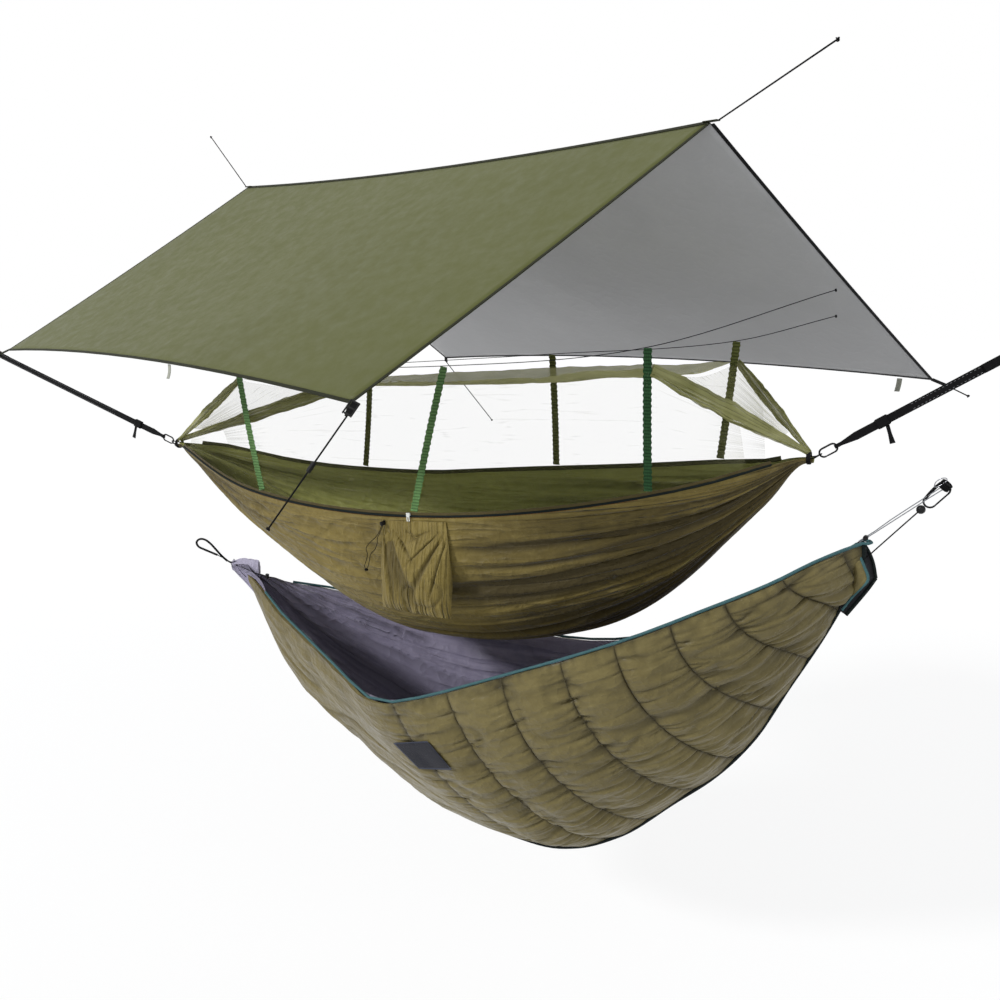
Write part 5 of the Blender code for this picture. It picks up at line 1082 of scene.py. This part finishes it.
def stitches(name, path, outs, material, length=0.007, gap=0.005, width=0.0016):
    """A row of short raised threads along a path."""
    shaper = bmesh.new()
    run, start = path_length(path), 0.0
    lengths = [0.0]
    for a, b in zip(path, path[1:]):
        lengths.append(lengths[-1] + (b - a).length)
    k = 0
    while start + length < run:
        middle = start + length / 2
        while lengths[k + 1] < middle:
            k += 1
        f = (middle - lengths[k]) / (lengths[k + 1] - lengths[k])
        centre = path[k].lerp(path[k + 1], f)
        x = (path[k + 1] - path[k]).normalized()
        z = outs[k].lerp(outs[k + 1], f)
        y = z.cross(x).normalized()
        z = x.cross(y)
        place = Matrix.Translation(centre) @ Matrix((x, y, z)).transposed().to_4x4()
        size = Matrix.Diagonal((length, width, width * 0.9, 1))
        bmesh.ops.create_cube(shaper, size=1.0, matrix=place @ size)
        start += length + gap
    return finish_mesh(name, shaper, [material])


# Pieces

def knotted_cord(look, name, route, step, diameter, key, tip_sizes):
    """A taut cord that ends free in a small knot."""
    points = smooth_points(route, step)
    piece = tube(name + "_run", points, diameter, look[key])
    way = points[-1] - points[-2]
    tip = knot(name + "_knot", points[-1], way, *tip_sizes, look["webbing_black"])
    dressed(piece, "webbing_black", name)
    dressed(tip, "webbing_black")


def hanging_cord(look, name, node, route, diameter):
    """A slack cord that is held at both ends and runs through its locks."""
    points = smooth_points(route, 0.006)
    piece = tube(name + "_run", points, diameter, look["webbing_black"])
    dressed(piece, "webbing_black", node)


def dress_cords(look):
    """The guylines, the net's ridge cords, the quilt's loop and the pouch's drawcord."""
    for name, route in GUYLINES.items():
        knotted_cord(look, name, route, 0.03, GUYLINE_DIAMETER, "webbing_black", GUYLINE_KNOT)
    for name, route in RIDGE_CORDS.items():
        knotted_cord(look, name, route, 0.02, RIDGE_CORD_DIAMETER, "cord_black_twist", RIDGE_CORD_KNOT)
    hanging_cord(look, "quilt_loop", "quilt_loop_cord", LOOP_CORD, LOOP_CORD_DIAMETER)
    hanging_cord(look, "pouch_draw", "pouch_drawcord", DRAWCORD, DRAWCORD_DIAMETER)


def dress_fly(look):
    """The fly's two panels, olive above and grey below."""
    held = [node_tree_of(node) for node in ("fly_near_binding", "fly_far_binding", "fly_ridge_tape")]
    for word, width in (("near", 1.35), ("far", 1.54)):
        node = "fly_%s_panel" % word
        shaper = refined(node + "_cloth", node, 3)
        fold_cloth(shaper, fly_fold, held, 0.12)
        two_tone(shaper, lambda p: UP)
        piece = finish_mesh(node + "_cloth", shaper, [look["fly_outside"], look["fly_inside"]])
        dressed(piece, "fly_olive" if word == "near" else "fly_grey", node)


def dress_bed(look):
    """The hammock's three panels, with folds that run out from both gathers."""
    holders = ("zip_tape_near", "rim_tape_far", "pouch", "gather_rope_left", "gather_rope_right")
    held = [node_tree_of(node) for node in holders]
    for word, width in (("near", 0.34), ("bottom", 0.50), ("far", 0.34)):
        node = "bed_%s_panel" % word
        shaper = refined(node + "_cloth", node, 3)
        fold_cloth(shaper, bed_fold, held, 0.07)
        two_tone(shaper, lambda p: hammock_place(p)[2])
        piece = finish_mesh(node + "_cloth", shaper, [look["bed_outside"], look["bed_inside"]])
        dressed(piece, "bed_olive", node)


def dress_net(look):
    """The net's walls, roof and ends, each one layer of netting."""
    held = [node_tree_of("zip_tape_near", "rim_tape_far"), node_tree_of(*HIP_SEAMS), node_tree_of(*RIBBONS)]
    for node, way, fold, key in (("net_near_wall", Vector((0, -1, 0.1)), net_fold, "net_wall"),
                                 ("net_far_wall", Vector((0, 1, 0.1)), net_fold, "net_wall"),
                                 ("net_roof", UP, roof_fold, "net_roof"),
                                 ("net_left_end", Vector((-0.2, 0, 1)), roof_fold, "net_end"),
                                 ("net_right_end", Vector((0.2, 0, 1)), roof_fold, "net_end")):
        shaper = refined(node + "_mesh", node, 2)
        outer_skin(shaper, lambda p: way)
        area = sum(f.calc_area() for f in shaper.faces)
        fold_cloth(shaper, fold, held, 0.05)
        piece = finish_mesh(node + "_mesh", shaper, [look[key]])
        dressed(piece, "net_olive", node)


def dress_quilt(look):
    """The quilt's padded halves with their stitching, bottom edge, sleeve and lining."""
    for word, side in (("near", -1), ("far", 1)):
        node = "quilt_%s_half" % word
        piece, seams = quilt_shell(node + "_shell", side, look["quilt_outside"])
        dressed(piece, "quilt_olive", node)
        rows = []
        for seam in seams[:-1]:
            path = [spot + out * 0.0004 for spot, out in seam[2:-1]]
            outs = [out for _, out in seam[2:-1]]
            rows.append(stitches("%s_seam_row" % word, path, outs, look["quilt_thread"]))
        joined = join_pieces("quilt_%s_seam_stitching" % word, rows)
        dressed(joined, "quilt_olive")
    edge = [quilt_bottom(0.36 + 0.64 * i / 60) - UP * 0.008 for i in range(61)]
    edge += [quilt_bottom(1).lerp(quilt_rim(-1, 1), f) + Vector((0.006, 0, 0)) for f in (0.3, 0.65, 1)]
    dressed(tube("quilt_bottom_binding", edge, 0.015, look["quilt_edge"]), "quilt_teal")
    quilt_sleeve(look)
    held = [node_tree_of("quilt_binding")]
    shaper = refined("quilt_lining_cloth", "quilt_lining", 2)
    fold_cloth(shaper, lining_fold, held, 0.05, quilt_place)
    piece = finish_mesh("quilt_lining_cloth", shaper, [look["lining"]])
    dressed(piece, "lining_lilac", "quilt_lining")


def quilt_sleeve(look):
    """The flat channel of lining through which the quilt's left cord is drawn."""
    shaper = bmesh.new()
    rings = []
    for i in range(25):
        f = i / 24
        centre = quilt_line(0.002 + 0.056 * f) - UP * (0.004 + 0.03 * f)
        wide = 0.016 + 0.022 * between(f, 0, 0.5)
        ring = []
        for k in range(32):
            a = math.tau * k / 32
            ruffle = 1 + 0.08 * math.sin(9 * a + 8 * f) + 0.1 * ripple(f * 6, a, 71.0)
            ring.append(shaper.verts.new(centre + UP * (wide * ruffle * math.cos(a))
                                         + Vector((0, 0.008 * ruffle * math.sin(a), 0))))
        rings.append(ring)
    close_tube(shaper, rings)
    dressed(finish_mesh("quilt_sleeve", shaper, [look["sleeve"]]), "lining_lilac")


def join_pieces(name, pieces):
    """One object from several meshes."""
    shaper = bmesh.new()
    for piece in pieces:
        shaper.from_mesh(piece.data)
    material = pieces[0].data.materials[0]
    for piece in pieces:
        bpy.data.objects.remove(piece)
    return finish_mesh(name, shaper, [material])


def dress_pouch(look):
    """The stuff sack: fine pleats under its gathered top, and folds that fan out from its cord."""
    shaper = refined("pouch_bag", "pouch", 3, 70)
    tree = node_tree_of("bed_near_panel")
    shadow, fabric = cloth_layers(shaper)
    low = Vector([min(v.co[i] for v in shaper.verts) for i in range(3)])
    high = Vector([max(v.co[i] for v in shaper.verts) for i in range(3)])
    lay_fabric(fabric, {v: ((v.co.z - low.z) * 1.5, (v.co.x - low.x) * 4) for v in shaper.verts})
    for vert in shaper.verts:
        near = tree.find_nearest(vert.co)[3]
        p = vert.co
        across, down = (p.x - low.x) / (high.x - low.x), (high.z - p.z) / (high.z - low.z)
        pleats = math.sin(across * 75 + 4 * ripple(across * 9, down * 4, 1)) * math.exp(-down / 0.12)
        from_left = math.atan2(across + 0.02, down + 0.05)
        from_right = math.atan2(1.0 - across, down + 0.02)
        half = between(across, 0.35, 0.65)
        fan = (1 - half) * crease((from_left * 3.5, 0.0), 51.0) + half * crease((from_right * 3.5, 0.0), 52.0)
        fan *= between(down, 0.03, 0.15) * (1 - between(down, 0.6, 0.95))
        slack = crease((across * 2.5, down * 3.5 + across * 1.2), 53.0) * between(down, 0.45, 0.7)
        height = 0.0026 * pleats - 0.012 * fan - 0.008 * slack - 0.016 * (1 - between(down, 0.02, 0.4))
        height += 0.006 * ripple(p.x * 13, 0, p.z * 9)
        share = between(near, 0.006, 0.02)
        vert.co -= AWAY * height * share
        # painted shade in the fan folds, the slack and the hollows of the pleats
        vert[shadow] = min(1.0, 0.7 * fan + 0.4 * slack + 0.25 * max(0, -pleats)) * share
    piece = finish_mesh("pouch_bag", shaper, [look["bed_outside"]])
    dressed(piece, "bed_olive", "pouch")


def recolour(look):
    """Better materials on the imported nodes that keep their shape."""
    plan = {
        "webbing_black": ("tree_strap_left", "tree_strap_right", "gather_rope_left", "gather_rope_right",
                          "quilt_hang_cord"),
        "plastic_black": ("guyline_tensioner", "pouch_cord_lock", "pouch_cord_lock_button",
                          "quilt_cord_lock_left", "quilt_cord_lock_right", "quilt_cord_lock_right_button",
                          "quilt_ball_knot"),
        "anodised_black": ("carabiner_left", "carabiner_right", "quilt_carabiner", "carabiner_left_gate",
                           "carabiner_right_gate", "quilt_carabiner_gate"),
        "binding_black": ("fly_far_binding",),
        "binding_olive": ("fly_near_binding", "fly_ridge_tape"),
        "bed_outside": ("zip_tape_near",),
        "rim_olive": ("rim_tape_far",),
        "zip_white": ("zip_slider",),
        "quilt_teal": ("quilt_binding",),
        "cord_grey": ("quilt_shock_cord",),
    }
    for key, nodes in plan.items():
        for node in nodes:
            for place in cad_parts[node].material_slots:
                place.material = look[key]


def tape_lower_edge(node):
    """Points along the lower edge of a rim tape, from left to right, a fixed number to a station."""
    shaper = bmesh.new()
    shaper.from_mesh(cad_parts[node].data)
    bmesh.ops.remove_doubles(shaper, verts=shaper.verts, dist=0.00002)
    verts = sorted((v.co.copy() for v in shaper.verts), key=lambda v: v.x)
    shaper.free()
    edge = []
    for i in range(0, len(verts) - 3, 4):
        edge.append(min(verts[i:i + 4], key=lambda v: v.z))
    return edge


def strip_ends(node):
    """The middle of a straight strip's lower end and of its upper end."""
    verts = [v.co.copy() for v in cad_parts[node].data.vertices]
    low, high = min(verts, key=lambda v: v.z), max(verts, key=lambda v: v.z)
    ends = []
    for end in (low, high):
        near = [v for v in verts if (v - end).length < 0.05]
        ends.append(sum(near, Vector()) / len(near))
    return ends


def bunched_hips(look):
    """The bands along which the net is gathered: loose folds of netting rolled round each hip seam."""
    for name in HIP_SEAMS:
        low, high = strip_ends(name)
        gather = LEFT_GATHER if "left" in name else RIGHT_GATHER
        path = smooth_points((low.lerp(gather + UP * 0.012, 0.75), high), 0.012)
        total = path_length(path)
        side = -1 if "near" in name else 1
        shaper = bmesh.new()
        shadow, fabric = cloth_layers(shaper)
        places, rings, gone = {}, [], 0.0
        for i, point in enumerate(path):
            gone += (point - path[i - 1]).length if i else 0
            f = gone / total
            along = (path[min(i + 1, len(path) - 1)] - path[max(i - 1, 0)]).normalized()
            across = Vector((0, -side, 0.9))
            across = (across - along * across.dot(along)).normalized()
            out = along.cross(across)
            wide = 0.012 + 0.021 * between(f, 0.0, 0.5) - 0.010 * between(f, 0.7, 1.0)
            wide *= 1 + 0.25 * ripple(f * 9, side, 61.0)
            ring = []
            for k in range(28):
                a = math.tau * k / 28
                folds = 1 + 0.22 * math.sin(7 * a + 5 * f) + 0.14 * ripple(f * 26, a * 3, 62.0)
                spot = point + across * (wide * folds * math.cos(a))
                vert = shaper.verts.new(spot + out * (wide * 0.45 * folds * math.sin(a)))
                vert[shadow] = 0.35 + 0.65 * abs(math.sin(a))
                places[vert] = (gone, a * 0.2)
                ring.append(vert)
            rings.append(ring)
        close_tube(shaper, rings)
        lay_fabric(fabric, places)
        dressed(finish_mesh(name + "_folds", shaper, [look["net_bunch"]], 80), "net_olive", name)


def quilt_mouth(look):
    """The quilt's blunt right end: the near half's last corner, and the far half's end past it, in painted
    shade.
    """
    rim, hem = traced(MOUTH_RIM, -0.020), traced(MOUTH_HEM, -0.020)
    far = traced(MOUTH_FAR, 0.016)

    def panel(name, a, b, bow, material):
        a, b = smooth_points(a, 0.008), smooth_points(b, 0.008)
        count = min(len(a), len(b))
        shaper = bmesh.new()
        fabric = shaper.loops.layers.uv.new("fabric")
        rows, lines = [], []
        for i in range(count):
            f = i / (count - 1)
            start, end = a[round(f * (len(a) - 1))], b[round(f * (len(b) - 1))]
            lines.append((start, end))
            bows = [Vector((0, bow * math.sin(math.pi * k / 8), 0)) for k in range(9)]
            rows.append([shaper.verts.new(start.lerp(end, k / 8) + bows[k]) for k in range(9)])
        for i, (low, high) in enumerate(zip(rows, rows[1:])):
            for k in range(8):
                face = shaper.faces.new((low[k], low[k + 1], high[k + 1], high[k]))
                for loop in face.loops:
                    loop[fabric].uv = (k / 50, i / 50)
        piece = dressed(finish_mesh(name, shaper, [look[material]]), "quilt_olive")

    panel("quilt_near_corner", hem, rim, -0.010, "quilt_outside")
    # painted shade: the far half's end and, below, its foot are near-black sheets
    panel("quilt_mouth_cloth", rim, far, 0.012, "quilt_mouth")
    rod("quilt_mouth_far_edge", far, 0.008, 0.011, look["quilt_edge"], "quilt_teal")
    edge = rim + [at_depth(*place) for place in NEAR_EDGE_END]
    rod("quilt_mouth_near_edge", edge, 0.008, 0.010, look["quilt_teal"], "quilt_teal")
    lower = far[-1:] + [at_depth(*place) for place in LOWER_EDGE_END]
    rod("quilt_mouth_lower_edge", lower, 0.008, 0.013, look["quilt_edge"], "quilt_teal")
    panel("quilt_mouth_foot", traced(MOUTH_FOOT, -0.012), lower, 0.0, "quilt_mouth")


def carabiner_wraps(look):
    """Cord wound round the quilt carabiner's far end and along its spine, and the small wire loop there."""
    black = look["webbing_black"]
    hub = at_depth(*WRAP_HUB, -0.004)
    along = (hub - at_depth(*WRAP_BACK, -0.004)).normalized()
    side = along.cross(AWAY).normalized()
    for i in range(4):
        centre = hub + along * (0.006 * i - 0.012)
        ring = []
        for k in range(24):
            a = math.tau * k / 24
            turn = side * (0.017 * math.cos(a)) + AWAY * (0.011 * math.sin(a))
            ring.append(centre + turn + along * (0.003 * math.sin(a)))
        dressed(tube("quilt_carabiner_wrap_%d" % i, ring, 0.0062, black, True), "webbing_black")
    spine = traced(CARABINER_SPINE, -0.006)
    rod("quilt_carabiner_spine", spine, 0.004, 0.011, black, "webbing_black")
    wire = traced(WIRE_LOOP, -0.014)
    rod("quilt_wire_loop", wire, 0.003, 0.0032, look["steel"], "cord_grey", True)


def dress_ribbons(look):
    """Six ribbons, each a straight strip with rolled edges and small puckers."""
    for name, key in RIBBONS.items():
        low, high = strip_ends(name)
        side = -1 if "near" in name else 1
        along = (high - low).normalized()
        across = Vector((0, side, 0)).cross(along).normalized()
        out = along.cross(across).normalized()
        shaper = bmesh.new()
        skins = []
        for way in (1, -1):
            rows = []
            for i in range(RIBBON_STEPS + 1):
                f = i / RIBBON_STEPS
                bow = 0.006 * math.sin(math.pi * f)
                row = []
                for k in range(9):
                    w = k / 4 - 1
                    half = RIBBON_HALF_WIDTH * (1 + 0.10 * math.sin(f * 150 + 0.7 * w))
                    pucker = 0.0012 * math.sin(f * 240 + 2 * w) + (0.0010 if abs(w) > 0.7 else 0)
                    spot = low.lerp(high, f) + across * (half * w) + out * (bow + pucker + way * 0.0006)
                    row.append(shaper.verts.new(spot))
                rows.append(row)
            skins.append(rows)
        close_shell(shaper, *skins)
        dressed(finish_mesh(name + "_strip", shaper, [look[key]], 80), "ribbon_green", name)


def rim_stitching(look):
    """Brown thread along the near panel, just below the rim's tape."""
    tree = piece_tree("bed_near_panel_cloth")
    edge = tape_lower_edge("zip_tape_near")
    path, outs = [], []
    for point in smooth_points(edge[4:-4], 0.01):
        start = Vector((point.x, -1.2, point.z - 0.006))
        hit, normal, _, _ = tree.ray_cast(start, AWAY)
        if hit is not None and abs(hit.y - point.y) < 0.05:
            path.append(hit + normal * 0.0004)
            outs.append(normal)
    dressed(stitches("rim_stitching", path, outs, look["rim_thread"]), "rim_slate")


def label_patch(look):
    """The quilt's bare label, laid over the puffs of the near half where the photograph shows it."""
    tree = piece_tree("quilt_near_half_shell")
    columns, rows = 12, 8
    hits = [tree.ray_cast(EYE, pixel_ray(x, y))[0] for x, y in LABEL_CORNERS]
    middle = sum(hits, Vector()) / 4
    out = (hits[1] - hits[0]).cross(hits[3] - hits[0]).normalized()
    out = out if out.dot(EYE - middle) > 0 else -out

    def pixel(u, v):
        return [(1 - v) * ((1 - u) * a + u * b) + v * ((1 - u) * d + u * e)
                for a, b, e, d in zip(*LABEL_CORNERS)]

    rise = {}
    for r in range(-1, rows + 2):
        for c in range(-1, columns + 2):
            hit = tree.ray_cast(EYE, pixel_ray(*pixel(c / columns, r / rows)))[0]
            rise[r, c] = (hit - middle).dot(out) if hit else 0

    def around(r, c):
        """The rises of a place of the grid and of its eight neighbours."""
        return [rise.get((r + a, c + b), rise[r, c]) for a in (-1, 0, 1) for b in (-1, 0, 1)]

    for _ in range(2):
        rise = {spot: max(around(*spot)) for spot in rise}
    for _ in range(2):
        rise = {spot: sum(around(*spot)) / 9 for spot in rise}
    for name, inset, lift, key in (("quilt_label", 0.0, 0.0025, "label_edge"),
                                   ("quilt_label_face", 0.035, 0.0040, "label_navy")):
        shaper = bmesh.new()
        grid = []
        for r in range(rows + 1):
            line = []
            for c in range(columns + 1):
                u = inset + (1 - 2 * inset) * c / columns
                v = inset * 1.6 + (1 - 3.2 * inset) * r / rows
                level = middle + out * (rise[r, c] + lift)
                line.append(shaper.verts.new(pixel_plane(*pixel(u, v), level, out)))
            grid.append(line)
        quads(shaper, list(zip(*grid)))
        dressed(finish_mesh(name, shaper, [look[key]]), "quilt_teal")


def hem_line(rear, front):
    """Points along a hem of the fly, from its rear end to its front end."""
    route = [rear.lerp(front, f) + UP * (HEM_BOW * 4 * f * (1 - f)) for f in (0, 0.25, 0.5, 0.75, 1)]
    return smooth_points(route, 0.01)


def hem_tabs(look):
    """The two short pale tapes sewn under the hems, each at its column of the picture."""
    for name, hem, column, lean in (("near_hem_tab", NEAR_HEM, NEAR_TAB_COLUMN, -0.03),
                                    ("far_hem_tab", FAR_HEM, FAR_TAB_COLUMN, -0.01)):
        top = min(hem_line(*hem), key=lambda p: abs(picture_place(p)[0] - column))
        along = Vector((hem[-1][0] - hem[0][0], hem[-1][1] - hem[0][1], 0)).normalized()
        shaper = bmesh.new()
        rows = []
        for i in range(13):
            f = i / 12
            centre = top - UP * (0.012 + 0.055 * f) + along * (lean * f)
            curl = UP.cross(along) * (0.006 * math.sin(2.4 * f))
            sides = [along * (0.011 * w) + curl for w in (-1, -0.5, 0, 0.5, 1)]
            rows.append([shaper.verts.new(centre + side) for side in sides])
        quads(shaper, rows)
        piece = finish_mesh(name, shaper, [look["hem_tab"]])
        thick = piece.modifiers.new("thickness", "SOLIDIFY")
        thick.thickness = 0.0012
        dressed(piece, "cord_grey")


def corner_buckle(look):
    """The ladder buckle at the fly's near front corner: a frame with two bars over the folded tape."""
    start, end = (Vector(p) for p in GUYLINES["guyline_near_front"])
    along = (end - start).normalized()
    wide = along.cross(AWAY).normalized()
    front = wide.cross(along).normalized()
    front = front if front.y < 0 else -front
    middle = start - along * 0.022 + front * 0.006
    for i, (offset, length) in enumerate(((-0.022, 0.030), (0.0, 0.028), (0.02, 0.024))):
        dressed(bar("corner_buckle_bar_%d" % i, middle + along * offset, wide, front, (length, 0.0055, 0.005),
                    look["plastic_black"], 0.0018), "plastic_black")
    dressed(bar("corner_buckle_tape", middle - front * 0.003, wide, front, (0.021, 0.046, 0.003),
                look["webbing_black"], 0.001), "webbing_black")
    for i, side in enumerate((-1, 1)):
        dressed(bar("corner_buckle_side_%d" % i, middle + wide * (side * 0.0145), along, front,
                    (0.05, 0.005, 0.0055), look["plastic_black"], 0.0018), "plastic_black")


def strap_stitching(look):
    """Pale rows of stitches along both edges of each strap's near face."""
    for name, low, high in (("left", (0.03, -0.0031, -0.0098), (0.88, -0.0031, -0.2840)),
                            ("right", (4.452, -0.0031, -0.0695), (4.700, -0.0031, 0.0910))):
        a, b = Vector(low), Vector(high)
        over = (b - a).normalized().cross(AWAY)
        rows = []
        for k, side in enumerate((-1, 1)):
            path = [a.lerp(b, i / 40) + over * (0.0085 * side) for i in range(41)]
            rows.append(stitches("strap_row_%d" % k, path, [-AWAY] * len(path), look["stitch_pale"],
                                 0.006, 0.007, 0.0012))
        dressed(join_pieces("strap_stitching_%s" % name, rows), "webbing_black")


def rim_piping(look):
    """A rolled edge along each rim, under the tape that holds the net."""
    for node, key in (("zip_tape_near", "rim_slate"), ("rim_tape_far", "rim_olive")):
        rod(node + "_piping", tape_lower_edge(node), 0.02, 0.0095, look[key], "rim_slate")


def loop_sleeve(look):
    """A thicker covering on the quilt's hanging loop, and a knot on the pouch's cord."""
    rod("quilt_loop_sleeve", LOOP_CORD[9:20], 0.006, 0.010, look["webbing_black"], "webbing_black")
    tip = knot("pouch_draw_knot", Vector(DRAWCORD[10]) - UP * 0.004, UP, 0.013, 0.0036, look["webbing_black"])
    dressed(tip, "webbing_black")


def main():
    camera()
    lights()
    white_beyond()
    look = make_materials()
    dress_cords(look)
    floor()
    recolour(look)
    dress_fly(look)
    dress_bed(look)
    dress_net(look)
    dress_quilt(look)
    dress_pouch(look)
    bunched_hips(look)
    dress_ribbons(look)
    quilt_mouth(look)
    carabiner_wraps(look)
    rim_stitching(look)
    label_patch(look)
    hem_tabs(look)
    corner_buckle(look)
    strap_stitching(look)
    rim_piping(look)
    loop_sleeve(look)


main()
